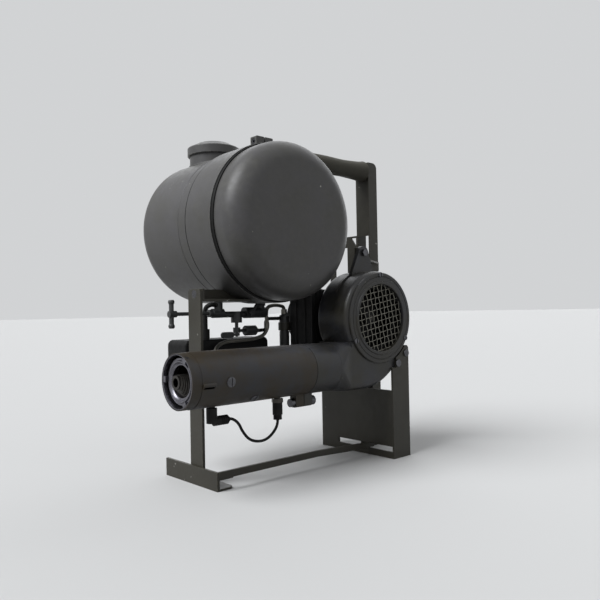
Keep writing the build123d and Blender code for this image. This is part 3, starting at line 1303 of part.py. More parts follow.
def selector_lever():
    x = selector_x()
    front = VALVE_Y - FILTER_VALVE_R
    pin = rod_y(front - 4, VALVE_Y - 2.5, x, MANIFOLD_Z, 2.2)
    disc = rod_y(front - 4, front - MOVE, x, MANIFOLD_Z, 4.5)
    arm = Pos(x, front - 2.4, MANIFOLD_Z) * Rot(0, 38, 0) * block(-2, 2, -1.6, 1.6, 0, 15)
    return pin + disc + arm


def drain_cock():
    cock = rod_z(COCK_Z, MANIFOLD_Z - 10, DROP_BOSS_X, VALVE_Y, 2.5)
    cock += rod_z(COCK_TOP, COCK_Z + 4.5, DROP_BOSS_X, VALVE_Y, COCK_R)
    return cock + rod_z(COCK_TOP - 5.6, COCK_TOP, DROP_BOSS_X, VALVE_Y, 1.8)


def drain_lever():
    top = COCK_TOP - MOVE
    middle = top - PADDLE_H / 2 + PADDLE_RISE
    near = DROP_BOSS_X - COCK_R - MOVE - PADDLE_H / 2
    far = DROP_BOSS_X - COCK_LEVER_L
    ends = (Pos(near, middle) * Circle(PADDLE_H / 2)).edges()
    ends += (Pos(far + PADDLE_H / 2, middle) * Circle(PADDLE_H / 2)).edges()
    paddle = prism_xz(make_hull(ends), VALVE_Y - PADDLE_T / 2, VALVE_Y + PADDLE_T / 2)
    hub = rod_z(top - 4, top, DROP_BOSS_X, VALVE_Y, 4.4)
    lever = hub + paddle + rod_x(near, DROP_BOSS_X - 3, VALVE_Y, top - 2, 1.6)
    return lever - rod_z(top - 5, top + 1, DROP_BOSS_X, VALVE_Y, 1.8 + RUN)


def fuel_filter():
    x0, x1 = FILTER_X, FILTER_X + FILTER_L
    body = rod_x(x0, x1, VALVE_Y, COCK_Z - 0.5, FILTER_R)
    body = chamfer(body.edges().filter_by(GeomType.CIRCLE), 1.2)
    stub = rod_x(DROP_BOSS_X, x0, VALVE_Y, COCK_Z, 2.3)
    stub -= rod_z(COCK_Z - 9, COCK_Z + 9, DROP_BOSS_X, VALVE_Y, COCK_R + GAP / 2)
    return body + stub + rod_x(x1, SUPPLY_ROUTE[0][0], VALVE_Y, COCK_Z - 1, 3.0)


def fuel_pump():
    low = PUMP_TOP - PUMP_H
    pump = turned_z([(0, low), (PUMP_R - 1.5, low), (PUMP_R, low + 1.5), (PUMP_R, PUMP_TOP - 3),
                     (PUMP_R - 1.5, PUMP_TOP - 1.5), (4.5, PUMP_TOP - 1.5), (4.5, PUMP_TOP),
                     (0, PUMP_TOP)],
                    PUMP_X, VALVE_Y)
    joint = PUMP_TOP - PUMP_JOINT
    pump -= rod_z(joint, joint + 1, PUMP_X, VALVE_Y, PUMP_R + 1) - rod_z(low, PUMP_TOP, PUMP_X,
                                                                         VALVE_Y, PUMP_R - 1)
    return pump + rod_x(SUPPLY_ROUTE[-1][0], PUMP_X, VALVE_Y, PUMP_PORT_Z, 3.0)


def piped(route, radius, bore, share):
    bends = largest_bends(route, share)
    print([round(b, 1) for b in bends])
    return swept(route, radius, bends, bore)


def feed_pipe():
    pipe = piped(FEED_ROUTE, PIPE_R, PIPE_BORE, 0.45)
    nut = rod_z(PUMP_TOP, PUMP_TOP + 7, PUMP_X, VALVE_Y, 4.6) - rod_z(PUMP_TOP - 1, PUMP_TOP + 8,
                                                                      PUMP_X, VALVE_Y, PIPE_R - 0.5)
    return pipe + nut


def supply_hose():
    return piped(SUPPLY_ROUTE, HOSE_R, HOSE_BORE, 0.45)


def sender_lead():
    x, y, z = SENDER_ROUTE[-1]
    start = SENDER_ROUTE[0]
    lead = piped(SENDER_ROUTE, CONDUIT_R, 0, 0.45)
    lead += rod_z(BOX_TOP, z + 6, x, y, 6.0) + rod_z(BOX_TOP - 3, z, x, y, 3.5)
    return lead + rod_x(start[0], start[0] + 2.4, VALVE_Y, start[2],
                        4.4) - rod_z(200, 260, FRONT_RISER_X, VALVE_Y, RISER_R - 1.25)


def build():
    shell = housing_shell()
    return {
        "tank_shell": tank_shell(),
        "fuel_strainer": fuel_strainer(),
        "cap_shell": cap_shell(),
        "cap_seal": cap_seal(),
        "tank_strap": tank_strap(),
        "strap_liner": strap_liner(),
        "strap_bolt": strap_bolt(),
        "front_foot": front_foot(),
        "front_post": front_post(),
        "tank_saddle": tank_saddle(),
        "base_rail": base_rail(),
        "rear_stand": rear_stand(),
        "stand_bolts": stand_bolts(),
        "rear_post": rear_post(),
        "post_spacers": post_spacers(),
        "frame_bolts": frame_bolts(),
        "handle_bar": handle_bar(),
        "handle_grip": handle_grip(),
        "blower_front": blower_front(shell),
        "blower_rear": blower_rear(shell),
        "outlet_neck": outlet_neck(),
        "latch_bolt": latch_bolt(),
        "joint_gasket": joint_gasket(),
        "intake_ring": intake_ring(),
        "pan_screws": pan_screws(),
        "intake_grille": intake_grille(),
        "impeller": impeller(),
        "motor_rotor": motor_rotor(),
        "motor_case": motor_case(),
        "motor_cap": motor_cap(),
        "motor_bearings": motor_bearings(),
        "motor_band": motor_band(),
        "stay_bracket": stay_bracket(),
        "burner_casing": burner_casing(),
        "nozzle_ring": nozzle_ring(),
        "outlet_dish": outlet_dish(),
        "combustion_chamber": combustion_chamber(),
        "air_diffuser": air_diffuser(),
        "burner_head": burner_head(),
        "fuel_inlet": fuel_inlet(),
        "sensor_elbow": sensor_elbow(),
        "igniter_plug": igniter_plug(),
        "igniter_connector": igniter_connector(),
        "igniter_lead": igniter_lead(),
        "control_box": control_box(),
        "box_lid": box_lid(),
        "circuit_board": circuit_board(),
        "switch_body": switch_body(),
        "switch_toggle": switch_toggle(),
        "power_inlet": power_inlet(),
        "box_bracket": box_bracket(),
        "fuel_manifold": fuel_manifold(),
        "valve_tee": valve_tee(),
        "selector_lever": selector_lever(),
        "drain_lever": drain_lever(),
        "fuel_filter": fuel_filter(),
        "feed_pipe": feed_pipe(),
        "supply_hose": supply_hose(),
        "fuel_pump": fuel_pump(),
        "sender_lead": sender_lead(),
    }


if __name__ == "__main__":
    os.makedirs("parts", exist_ok=True)
    for name, solid in build().items():
        export_step(solid, f"parts/{name}.step")
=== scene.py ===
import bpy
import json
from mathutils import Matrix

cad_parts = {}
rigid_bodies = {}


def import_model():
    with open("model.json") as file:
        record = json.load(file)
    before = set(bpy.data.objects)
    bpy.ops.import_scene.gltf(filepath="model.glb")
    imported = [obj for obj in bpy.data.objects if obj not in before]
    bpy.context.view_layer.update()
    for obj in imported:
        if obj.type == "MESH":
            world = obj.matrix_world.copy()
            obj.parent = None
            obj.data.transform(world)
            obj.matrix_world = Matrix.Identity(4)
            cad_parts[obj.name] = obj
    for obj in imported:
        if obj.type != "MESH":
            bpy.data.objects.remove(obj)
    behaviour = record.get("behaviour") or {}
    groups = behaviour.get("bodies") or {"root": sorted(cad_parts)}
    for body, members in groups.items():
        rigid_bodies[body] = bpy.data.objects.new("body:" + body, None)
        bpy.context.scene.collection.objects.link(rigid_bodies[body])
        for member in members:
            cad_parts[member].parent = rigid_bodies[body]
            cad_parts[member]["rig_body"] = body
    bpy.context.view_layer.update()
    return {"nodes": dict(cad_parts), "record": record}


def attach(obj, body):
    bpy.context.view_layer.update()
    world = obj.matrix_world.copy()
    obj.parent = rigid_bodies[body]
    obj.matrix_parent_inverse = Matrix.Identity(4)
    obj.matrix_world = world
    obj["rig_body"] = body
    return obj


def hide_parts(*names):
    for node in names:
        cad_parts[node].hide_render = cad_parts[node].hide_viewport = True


bl_info = {
    "name": "Diesel Air Heater",
    "version": (1, 0, 0),
    "blender": (4, 5, 0),
    "location": "View3D > Sidebar > Heater",
    "description": "Finished surfaces of a diesel air heater around its packed solids",
    "category": "Object",
}

import json
from math import cos, pi, radians, sin, sqrt

import bmesh
import bpy
from bpy.props import FloatProperty, FloatVectorProperty, IntProperty, PointerProperty
from mathutils import Matrix, Vector

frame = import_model()

SLOTS = {part["node"]: part["material_slot"] for part in frame["record"]["subparts"]}
# The strap wears the tank's paint, and the chamber is bright where its cone is turned.
SLOTS.update(tank_strap="tank_paint", combustion_chamber="inner_steel")

MM = 0.001
MERGE = 0.001 * MM      # vertices nearer than this are one
X, Y = Vector((1, 0, 0)), Vector((0, 1, 0))


def span(node, axis):
    """Where a CAD node starts and ends along an axis, in millimetres."""
    places = [vert.co[axis] / MM for vert in frame["nodes"][node].data.vertices]
    return min(places), max(places)


# Places read from the frame, in millimetres.
POST_FRONT, POST_BACK = span("front_post", 0)
POST_NEAR, POST_FAR = span("front_post", 1)
FRAME_Y = (POST_NEAR + POST_FAR) / 2    # the plane of both posts, the grip and the clamp
FOOT_FLOOR = span("front_post", 2)[0]
FOOT_TOP = span("front_foot", 2)[1]
RAIL_NEAR, RAIL_FAR = span("base_rail", 1)
SPACER_FRONT, SPACER_BACK = span("post_spacers", 0)
STRAP_NEAR, STRAP_FAR = span("tank_strap", 1)
GRIP_NEAR, GRIP_FAR = span("handle_bar", 1)
MESH_Y = sum(span("intake_grille", 1)) / 2

# Round shapes and what lies on them, in millimetres.
TANK_AXIS = (-23.0, 0.0, 341.0)
TANK_R = 107.5
TANK_SEAM_Y = 20.0
BARREL_END = 108.5      # where the tank's far end starts to round
END_ROUND = 24.0
NECK_Y = 86.0
NECK_R = 37.0
STRAP_INSIDE = 108.7
STRAP_R = 110.2
CLAMP_NEAR, CLAMP_FAR = -39.0, -26.0
EAR_HALF = 15.0         # from the tank's axis to the outside of each clamp ear
GRIP_FOOT_ARC = (26.0, 41.5)    # degrees from the tank's top towards the grip
SPACER_R = 7.0
SPACER_HEIGHTS = (35.0, 80.0)
RAIL_LOW = 14.5         # the rail's underside at the front post
BLOWER_AXIS = (113.0, 0.0, 207.0)
MESH_R = 50.6
MESH_TILT = -10.0       # degrees that the wires lean
LEAD_Y = -97.0

# Weld beads: how far their middles stand off the faces, their radii, and the waist of each ripple.
WELD_OFF = 0.2
SEAM_BEAD, NECK_BEAD, STRAP_BEAD, FRAME_BEAD = 1.0, 1.7, 1.5, 1.4
RIPPLE = 0.86

# Radii of the rounded edges, in millimetres, where they differ from the bars. Square ones stay as they are.
SQUARE = 0.0
MOULDED_EDGE = 0.2
THIN_EDGE = 0.25
SHEET_EDGE = 0.3
FITTING_EDGE = 0.35
BOX_EDGE = 0.4
LID_EDGE = 0.5

# The camera: where it stands, in metres, its turn from +X, its tilt and roll in degrees, and its lens in mm.
EYE = (-0.591, -0.7291, 0.2209)
EYE_YAW, EYE_PITCH, EYE_ROLL = 47.64, 0.87, -1.08
EYE_LENS = 38.166

# Each light: its name, the direction that it comes from, its strength, and its spread in degrees.
SUNS = (("window", (-1.25, 0.25, 1.35), 3.5, 40), ("room", (0.1, -1.3, 0.7), 0.5, 100),
        ("back", (1.2, 0.7, 0.6), 1.3, 80))
DAYLIGHT = (0.96, 0.975, 1.0)
SKY_COLOUR = (0.97, 0.985, 1.0)
SKY_LIGHT, SKY_SEEN = 0.16, 0.66        # its strength as light, and as what is seen
FLOOR_REACH = 30.0      # metres
FLOOR_BOUNCE = 0.25     # share of the floor's colour in the light that it throws back


def linear(code):
    """An sRGB hex colour as linear red, green and blue."""
    channels = [int(code[i:i + 2], 16) / 255 for i in (1, 3, 5)]
    return tuple(c / 12.92 if c <= 0.04045 else ((c + 0.055) / 1.055) ** 2.4 for c in channels)


# ---------------------------------------------------------------- settings

class HeaterColours(bpy.types.PropertyGroup):
    """Colours of the finishes."""

    def colour(name, note, code):
        return FloatVectorProperty(name=name, description=note, subtype="COLOR", size=3, min=0, max=1,
                                   default=linear(code))

    tank: colour("Tank paint", "Stoved enamel on the fuel tank, its strap and its cap", "#4e4d4a")
    frame: colour("Frame paint", "Stoved enamel on the bars and the stand", "#33312a")
    # The blower's colour is darker than the tank's as painted shade from the tank above it.
    housing: colour("Blower paint", "Stoved enamel on the blower housing", "#302e27")
    # The burner's brown is its own, and it is darkened further as painted shade from the tank above the tube.
    burner: colour("Burner paint", "Heat-proof enamel on the burner tube", "#322b20")
    chip: colour("Bare spots", "Metal that shows where paint has chipped", "#8b8a84")
    plastic: colour("Moulded plastic", "Glass-filled nylon of the connectors and box", "#0c0c0c")
    rubber: colour("Rubber", "Nitrile rubber of hoses, liner and lead", "#141413")
    grip: colour("Grip", "Moulded rubber sleeve of the carrying grip", "#46443d")
    scale: colour("Heated steel", "Scale on the hot steel of the nozzle", "#75747a")
    wire: colour("Mesh wire", "Galvanised wire cloth over the air intake", "#76746c")
    floor: colour("Floor", "Pale paper that the heater stands on", "#c9c9c8")


class HeaterSizes(bpy.types.PropertyGroup):
    """Sizes of the details that the solids leave out."""

    edge: FloatProperty(name="Edge round", description="Radius on the edges of bars and plates",
                        default=0.5 * MM, min=0.1 * MM, max=2 * MM, unit="LENGTH")
    wire_pitch: FloatProperty(name="Wire pitch", description="Distance between the wires of the intake mesh",
                              default=8.4 * MM, min=3 * MM, max=15 * MM, unit="LENGTH")
    wire: FloatProperty(name="Wire thickness", description="Thickness of each wire of the intake mesh",
                        default=1.25 * MM, min=0.5 * MM, max=3 * MM, unit="LENGTH")
    lead: FloatProperty(name="Lead thickness", description="Outside diameter of the igniter lead",
                        default=3.6 * MM, min=2 * MM, max=8 * MM, unit="LENGTH")
    round_steps: IntProperty(name="Round steps", description="Faces round the rubber strip of the strap",
                             default=160, min=24, max=256)


# ---------------------------------------------------------------- materials

def add(tree, kind, links=None, settings=None, **inputs):
    """Adds a node, sets its own settings and its inputs, and links each input in links from a socket."""
    node = tree.nodes.new(kind)
    for name, value in (settings or {}).items():
        setattr(node, name, value)
    for name, value in inputs.items():
        node.inputs[name.replace("_", " ")].default_value = value
    for name, socket in (links or {}).items():
        tree.links.new(socket, node.inputs[name])
    return node


def fresh(name):
    """A material with no nodes, and its node tree."""
    material = bpy.data.materials.get(name) or bpy.data.materials.new(name)
    material.use_nodes = True
    material.node_tree.nodes.clear()
    return material, material.node_tree


def fade(tree, socket, start, end, low=0.0, high=1.0):
    """A value that goes from low to high while socket goes from start to end."""
    node = add(tree, "ShaderNodeValToRGB", {"Fac": socket})
    for element, place, value in zip(node.color_ramp.elements, (start, end), (low, high)):
        element.position = place
        element.color = (value, value, value, 1)
    return node.outputs["Color"]


def mixed(tree, fac, a, b, blend="MIX"):
    """Mix of two colours, each a socket or a linear colour."""
    node = add(tree, "ShaderNodeMix", settings={"data_type": "RGBA", "blend_type": blend})
    for index, value in ((0, fac), (6, a), (7, b)):
        if isinstance(value, bpy.types.NodeSocket):
            tree.links.new(value, node.inputs[index])
        elif index == 0:
            node.inputs[0].default_value = value
        else:
            node.inputs[index].default_value = (*value, 1)
    return node.outputs[2]


def noise(tree, where, size_mm, detail, roughness, stretch=(1, 1, 1)):
    """Noise with lumps of about size_mm, on Object coordinates."""
    scaled = add(tree, "ShaderNodeMapping", {"Vector": where}, Scale=stretch)
    return add(tree, "ShaderNodeTexNoise", {"Vector": scaled.outputs[0]}, Scale=1 / (size_mm * MM),
               Detail=detail, Roughness=roughness).outputs["Fac"]


def shaded(colour, by):
    """A linear colour made darker or lighter."""
    return tuple(min(c * by, 1) for c in colour)


def enamel(name, colour, chips=0.5, roughness=0.42, tint=None):
    """Stoved enamel sprayed on steel: satin, with a fine orange peel, faint cloudiness, dust in the hollows
    of the spray and a few small chips down to the metal. tint is what the clouds turn to."""
    material, tree = fresh(name)
    where = add(tree, "ShaderNodeTexCoord").outputs["Object"]
    cloud = noise(tree, where, size_mm=45, detail=4, roughness=0.6)
    tone = mixed(tree, fade(tree, cloud, 0.35, 0.65), shaded(colour, 0.9), tint or shaded(colour, 1.14))
    dust = noise(tree, where, size_mm=9, detail=5, roughness=0.65)
    tone = mixed(tree, fade(tree, dust, 0.45, 0.75, high=0.35), tone, shaded(colour, 1.5))
    # Chips of a few millimetres, in groups some centimetres apart.
    spot = noise(tree, where, size_mm=7, detail=2, roughness=0.4)
    group = noise(tree, where, size_mm=60, detail=1, roughness=0.5)
    least = 0.75 - 0.02 * chips
    chipped = mixed(tree, 1.0, fade(tree, spot, least, least + 0.015), fade(tree, group, 0.56, 0.62),
                    "MULTIPLY")
    tone = mixed(tree, chipped, tone, tuple(bpy.context.scene.heater_colours.chip))
    # Edges rubbed through to the pale undercoat, broken up every few millimetres.
    edges = add(tree, "ShaderNodeAttribute", settings={"attribute_name": "edges"}).outputs["Fac"]
    broken = fade(tree, noise(tree, where, size_mm=5, detail=3, roughness=0.6), 0.44, 0.6)
    tone = mixed(tree, mixed(tree, 1.0, edges, broken, "MULTIPLY"), tone, shaded(colour, 2.4))
    rough = fade(tree, dust, 0.3, 0.7, roughness - 0.05, roughness + 0.12)
    peel = noise(tree, where, size_mm=1.5, detail=2, roughness=0.5)
    skin = add(tree, "ShaderNodeBump", {"Height": peel}, Strength=0.2, Distance=0.12 * MM)
    pitted = add(tree, "ShaderNodeBump", {"Height": chipped, "Normal": skin.outputs[0]}, {"invert": True},
                 Strength=0.6, Distance=0.2 * MM)
    shader = add(tree, "ShaderNodeBsdfPrincipled", {"Base Color": tone, "Roughness": rough,
                                                    "Normal": pitted.outputs[0], "Metallic": chipped},
                 Specular_IOR_Level=0.35)
    add(tree, "ShaderNodeOutputMaterial", {"Surface": shader.outputs[0]})
    return material


def steel(name, colour, roughness=0.38, grain=(1, 1, 1), stain=0.35):
    """Bare steel, turned, rolled or burnt: metallic, with a fine machining grain and darker stains."""
    material, tree = fresh(name)
    where = add(tree, "ShaderNodeTexCoord").outputs["Object"]
    marks = noise(tree, where, size_mm=0.9, detail=3, roughness=0.6, stretch=grain)
    stains = noise(tree, where, size_mm=12, detail=5, roughness=0.7)
    tone = mixed(tree, fade(tree, stains, 0.35, 0.7, high=stain), colour, shaded(colour, 0.35))
    tone = mixed(tree, fade(tree, marks, 0.4, 0.6, high=0.25), tone, shaded(colour, 1.4))
    rough = fade(tree, marks, 0.3, 0.7, roughness - 0.08, roughness + 0.14)
    bump = add(tree, "ShaderNodeBump", {"Height": marks}, Strength=0.15, Distance=0.08 * MM)
    shader = add(tree, "ShaderNodeBsdfPrincipled", {"Base Color": tone, "Roughness": rough,
                                                    "Normal": bump.outputs[0]}, Metallic=1.0)
    add(tree, "ShaderNodeOutputMaterial", {"Surface": shader.outputs[0]})
    return material


def moulded(name, colour, roughness=0.55, grain_mm=0.7, depth=0.25, dust=0.25):
    """A matt, fine-grained surface with no bare metal: a mould grain, and pale dust that breaks it up."""
    material, tree = fresh(name)
    where = add(tree, "ShaderNodeTexCoord").outputs["Object"]
    grain = noise(tree, where, grain_mm, detail=2, roughness=0.5)
    dusty = noise(tree, where, size_mm=14, detail=5, roughness=0.7)
    tone = mixed(tree, fade(tree, dusty, 0.4, 0.8, high=dust), colour, shaded(colour, 2.6))
    rough = fade(tree, dusty, 0.35, 0.7, roughness - 0.06, roughness + 0.2)
    bump = add(tree, "ShaderNodeBump", {"Height": grain}, Strength=depth, Distance=0.1 * MM)
    shader = add(tree, "ShaderNodeBsdfPrincipled", {"Base Color": tone, "Roughness": rough,
                                                    "Normal": bump.outputs[0]},
                 Specular_IOR_Level=0.2)
    add(tree, "ShaderNodeOutputMaterial", {"Surface": shader.outputs[0]})
    return material


def seen_directly(tree):
    """One for what the camera, a reflection or glass sees, nothing for light that only bounces."""
    path = add(tree, "ShaderNodeLightPath").outputs
    seen = path["Is Camera Ray"]
    for ray in ("Is Glossy Ray", "Is Transmission Ray"):
        either = add(tree, "ShaderNodeMath", {0: seen, 1: path[ray]}, settings={"operation": "MAXIMUM"})
        seen = either.outputs[0]
    return seen


def finishes():
    """Every finish by the record's slot name."""
    own = bpy.context.scene.heater_colours
    even = (1, 1, 1)
    return {
        # Stoved enamel, sprayed: a satin dark grey that clouds from olive to blue.
        "tank_paint": enamel("stoved_enamel_tank", tuple(own.tank), 0.5, 0.40, linear("#4f4e4f")),
        # The same enamel on rolled bar: duller, and chipped more by handling.
        "frame_paint": enamel("stoved_enamel_frame", tuple(own.frame), 0.9, 0.46),
        # The same enamel on pressed sheet, the glossiest of the painted parts. Its darker colour is painted
        # shade from the tank above it.
        "housing_paint": enamel("stoved_enamel_housing_with_painted_shade", tuple(own.housing), 0.4, 0.34, linear("#2f3035")),
        # Silicone heat-proof enamel: drier, browned by heat in some places and blued in others. Its brown is
        # its own; its darkness is partly painted shade from the tank above the tube.
        "burner_paint": enamel("heatproof_enamel_with_painted_shade", tuple(own.burner), 0.5, 0.48, linear("#2e2f33")),
        # Mild steel under heat scale: a violet grey that still gleams, with dark stains.
        "nozzle_steel": steel("scaled_steel", tuple(own.scale), 0.3, even, 0.6),
        # Galvanised wire cloth: pale grey, dulled by dust.
        "mesh_wire": steel("galvanised_wire", tuple(own.wire), 0.45, even, 0.4),
        # Zinc-plated screws: grey, with little gleam left between the stains.
        "bolt_steel": steel("zinc_plated_steel", linear("#5c5c5f"), 0.3, even, 0.8),
        # Brass fittings under enamel: dark and satin, with a few bright chips.
        "fitting_metal": enamel("enamelled_brass", linear("#383939"), 0.6, 0.38),
        # Drawn steel tube: a plain dull grey with long marks from the die.
        "pipe_steel": steel("drawn_steel_tube", linear("#6f6d67"), 0.42, (0.2, 1, 1)),
        # Moulded rubber sleeve: matt olive grey, paler where its grain holds dust.
        "grip_rubber": moulded("moulded_rubber_grip", tuple(own.grip), 0.62, 1.0, 0.3, 0.3),
        # Nitrile rubber: near black and matt, with a soft grey bloom.
        "black_rubber": moulded("nitrile_rubber", tuple(own.rubber), 0.6, 0.6, 0.2, 0.25),
        # Glass-filled nylon: black, with a fine even grain and hardly any shine.
        "black_plastic": moulded("glass_filled_nylon", tuple(own.plastic), 0.55, 0.5, 0.12, 0.2),
        # Enamel on a cast motor frame: black and dry.
        "motor_paint": enamel("stoved_enamel_motor", linear("#0b0b0b"), 0.3, 0.6),
        # Cast aluminium wheel: near black and matt, with no gleam, as painted shade of the dark inside of the
        # housing behind the mesh.
        "wheel_aluminium": moulded("aluminium_in_painted_shade", linear("#1d1d1c"), 0.6, 1.2, 0.2, 0.3),
        # Turned steel inside the motor and burner: dark, with fine tool marks.
        "inner_steel": steel("turned_steel", linear("#454340"), 0.36, (1, 0.2, 1), 0.5),
        # Glass-fibre circuit board under lacquer: smooth green with some gloss.
        "board_green": moulded("lacquered_board", linear("#1f4a33"), 0.35, 0.8, 0.1, 0.1),
    }


FINISH = {}


def paint(piece, slot):
    """Gives a piece the finish of a slot."""
    piece.data.materials.clear()
    piece.data.materials.append(FINISH[slot])
    return piece


# ---------------------------------------------------------------- mesh helpers

def sizes():
    """The sizes that the panel shows."""
    return bpy.context.scene.heater_sizes


def settle(bm, name, slot, body="chassis", replaced=(), angle=35):
    """Turns a bmesh into a piece in its finish that rides on a body and stands for CAD nodes. Edges that
    turn more than angle degrees stay sharp, and the flat faces set the shading next to rounded ones."""
    for face in bm.faces:
        face.smooth = True
    for edge in bm.edges:
        edge.smooth = len(edge.link_faces) == 2 and edge.calc_face_angle(0) < radians(angle)
    mesh = bpy.data.meshes.new(name)
    bm.to_mesh(mesh)
    bm.free()
    piece = bpy.data.objects.new(name, mesh)
    bpy.context.scene.collection.objects.link(piece)
    paint(piece, slot)
    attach(piece, body)
    if replaced:
        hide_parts(*replaced)
    even = piece.modifiers.new("even_normals", "WEIGHTED_NORMAL")
    even.keep_sharp = True
    even.weight = 60
    return piece


def lathe(profile, centre, axis, steps):
    """A ring: a closed profile of (radius, along) points in mm, spun about an axis square to X."""
    bm = bmesh.new()
    middle = Vector(centre) * MM
    verts = [bm.verts.new(middle + X * (r * MM) + axis * (a * MM)) for r, a in profile]
    edges = [bm.edges.new(pair) for pair in zip(verts, verts[1:] + verts[:1])]
    bmesh.ops.spin(bm, geom=verts + edges, cent=middle, axis=axis, angle=2 * pi, steps=steps, use_merge=True)
    bmesh.ops.remove_doubles(bm, verts=bm.verts, dist=MERGE)
    bmesh.ops.recalc_face_normals(bm, faces=bm.faces)
    return bm


def lip(radius, middle_r, middle_y):
    """Points of a rolled lip in a profile, from its inner flank over its crown."""
    turns = [radians(-60 + 30 * n) for n in range(6)]
    return [(middle_r + radius * cos(t), middle_y + radius * sin(t)) for t in turns]


def straight(start, end):
    """A point every millimetre along a straight line, both ends among them."""
    start, end = Vector(start), Vector(end)
    count = round((end - start).length)
    return [start.lerp(end, n / count) for n in range(count + 1)]


def round_tank(radius, y, start=0.0, end=360.0, step=1.0):
    """Points round the tank's axis, turned from its top towards the blower, in degrees."""
    turns = [radians(start + step * n) for n in range(round((end - start) / step) + 1)]
    return [(TANK_AXIS[0] + radius * sin(t), y, TANK_AXIS[2] + radius * cos(t)) for t in turns]


def from_node(node, width, angle):
    """A merged copy of a CAD node's mesh with its flat faces rejoined and its edges rounded."""
    bm = bmesh.new()
    bm.from_mesh(frame["nodes"][node].data)
    bmesh.ops.remove_doubles(bm, verts=bm.verts, dist=MERGE)
    bmesh.ops.dissolve_limit(bm, angle_limit=radians(0.5), verts=bm.verts, edges=bm.edges)
    if width:
        # The rounds are marked, so that the paint can be rubbed thin on them.
        edges = bm.faces.layers.float.new("edges")
        sharp = [e for e in bm.edges if len(e.link_faces) == 2 and e.calc_face_angle(0) > radians(angle)]
        rounded = bmesh.ops.bevel(bm, geom=sharp, offset=width, offset_type="OFFSET", segments=2, profile=0.5,
                                  affect="EDGES", clamp_overlap=True, material=-1)
        for face in rounded["faces"]:
            face[edges] = 1.0
    return bm


def dressed(node, width=None, angle=30):
    """The CAD node again, in its place, with each edge that turns more than angle degrees rounded by width
    in millimetres, or by the setting for bars."""
    bm = from_node(node, sizes().edge if width is None else width * MM, angle)
    return settle(bm, node + "_finished", SLOTS[node], frame["nodes"][node]["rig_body"], (node,))


def tubes(lines, radius, roundness, waist=1.0):
    """Round bars in mm along lines of points. Every second point is thinned to waist, a share of radius."""
    curve = bpy.data.curves.new("bars", "CURVE")
    curve.dimensions = "3D"
    curve.bevel_depth = radius * MM
    curve.bevel_resolution = roundness
    curve.use_fill_caps = True
    for line in lines:
        spline = curve.splines.new("POLY")
        spline.points.add(len(line) - 1)
        for n, (point, place) in enumerate(zip(spline.points, line)):
            point.co = (*(Vector(place) * MM), 1)
            point.radius = 1.0 if n % 2 else waist
    bars = bpy.data.objects.new("bars", curve)
    mesh = bpy.data.meshes.new_from_object(bars)
    bm = bmesh.new()
    bm.from_mesh(mesh)
    bpy.data.objects.remove(bars)
    bpy.data.curves.remove(curve)
    bpy.data.meshes.remove(mesh)
    return bm


def beads(name, lines, radius, slot):
    """Rippled weld beads along lines of points."""
    return settle(tubes(lines, radius, 2, RIPPLE), name, slot, angle=60)


# ---------------------------------------------------------------- pieces

class OBJECT_OT_heater_stage(bpy.types.Operator):
    """Sets the camera, the floor and the light"""

    bl_idname = "object.heater_stage"
    bl_label = "Camera, Floor and Light"

    def execute(self, context):
        yaw, pitch, roll = radians(EYE_YAW), radians(EYE_PITCH), radians(EYE_ROLL)
        forward = Vector((cos(yaw) * cos(pitch), sin(yaw) * cos(pitch), sin(pitch)))
        flat = Vector((sin(yaw), -cos(yaw), 0))
        rise = flat.cross(forward)
        right = flat * cos(roll) + rise * sin(roll)
        up = rise * cos(roll) - flat * sin(roll)
        eye = bpy.data.objects.new("photo_camera", bpy.data.cameras.new("photo_camera"))
        eye.matrix_world = Matrix((right, up, -forward)).transposed().to_4x4()
        eye.location = EYE
        eye.data.sensor_width = 36.0
        eye.data.lens = EYE_LENS
        context.scene.collection.objects.link(eye)
        context.scene.camera = eye
        context.scene.view_settings.view_transform = "Standard"
        self.floor(context)
        self.light(context)
        return {"FINISHED"}

    def floor(self, context):
        """A floor out to the horizon, pale where it is seen and dim in the light that it throws back."""
        bm = bmesh.new()
        bmesh.ops.create_grid(bm, x_segments=1, y_segments=1, size=FLOOR_REACH)
        mesh = bpy.data.meshes.new("paper_floor")
        bm.to_mesh(mesh)
        bm.free()
        floor = bpy.data.objects.new("paper_floor", mesh)
        context.scene.collection.objects.link(floor)
        # Matt paper: even, pale, no gloss.
        material, tree = fresh("matt_paper")
        shade = tuple(context.scene.heater_colours.floor)
        tone = mixed(tree, seen_directly(tree), shaded(shade, FLOOR_BOUNCE), shade)
        shader = add(tree, "ShaderNodeBsdfPrincipled", {"Base Color": tone}, Roughness=0.9)
        add(tree, "ShaderNodeOutputMaterial", {"Surface": shader.outputs[0]})
        mesh.materials.append(material)

    def light(self, context):
        """Daylight from a window, weaker light from the room and from behind, and an even sky."""
        for name, place, strength, spread in SUNS:
            lamp = bpy.data.lights.new(name, "SUN")
            lamp.energy = strength
            lamp.angle = radians(spread)
            lamp.color = DAYLIGHT
            sun = bpy.data.objects.new(name, lamp)
            sun.rotation_euler = (-Vector(place)).to_track_quat("-Z", "Y").to_euler()
            context.scene.collection.objects.link(sun)
        world = bpy.data.worlds.new("daylight")
        context.scene.world = world
        world.use_nodes = True
        tree = world.node_tree
        tree.nodes.clear()
        level = add(tree, "ShaderNodeMapRange", {"Value": seen_directly(tree)}, To_Min=SKY_LIGHT,
                    To_Max=SKY_SEEN)
        sky = add(tree, "ShaderNodeBackground", {"Strength": level.outputs[0]}, Color=(*SKY_COLOUR, 1))
        add(tree, "ShaderNodeOutputWorld", {"Surface": sky.outputs[0]})


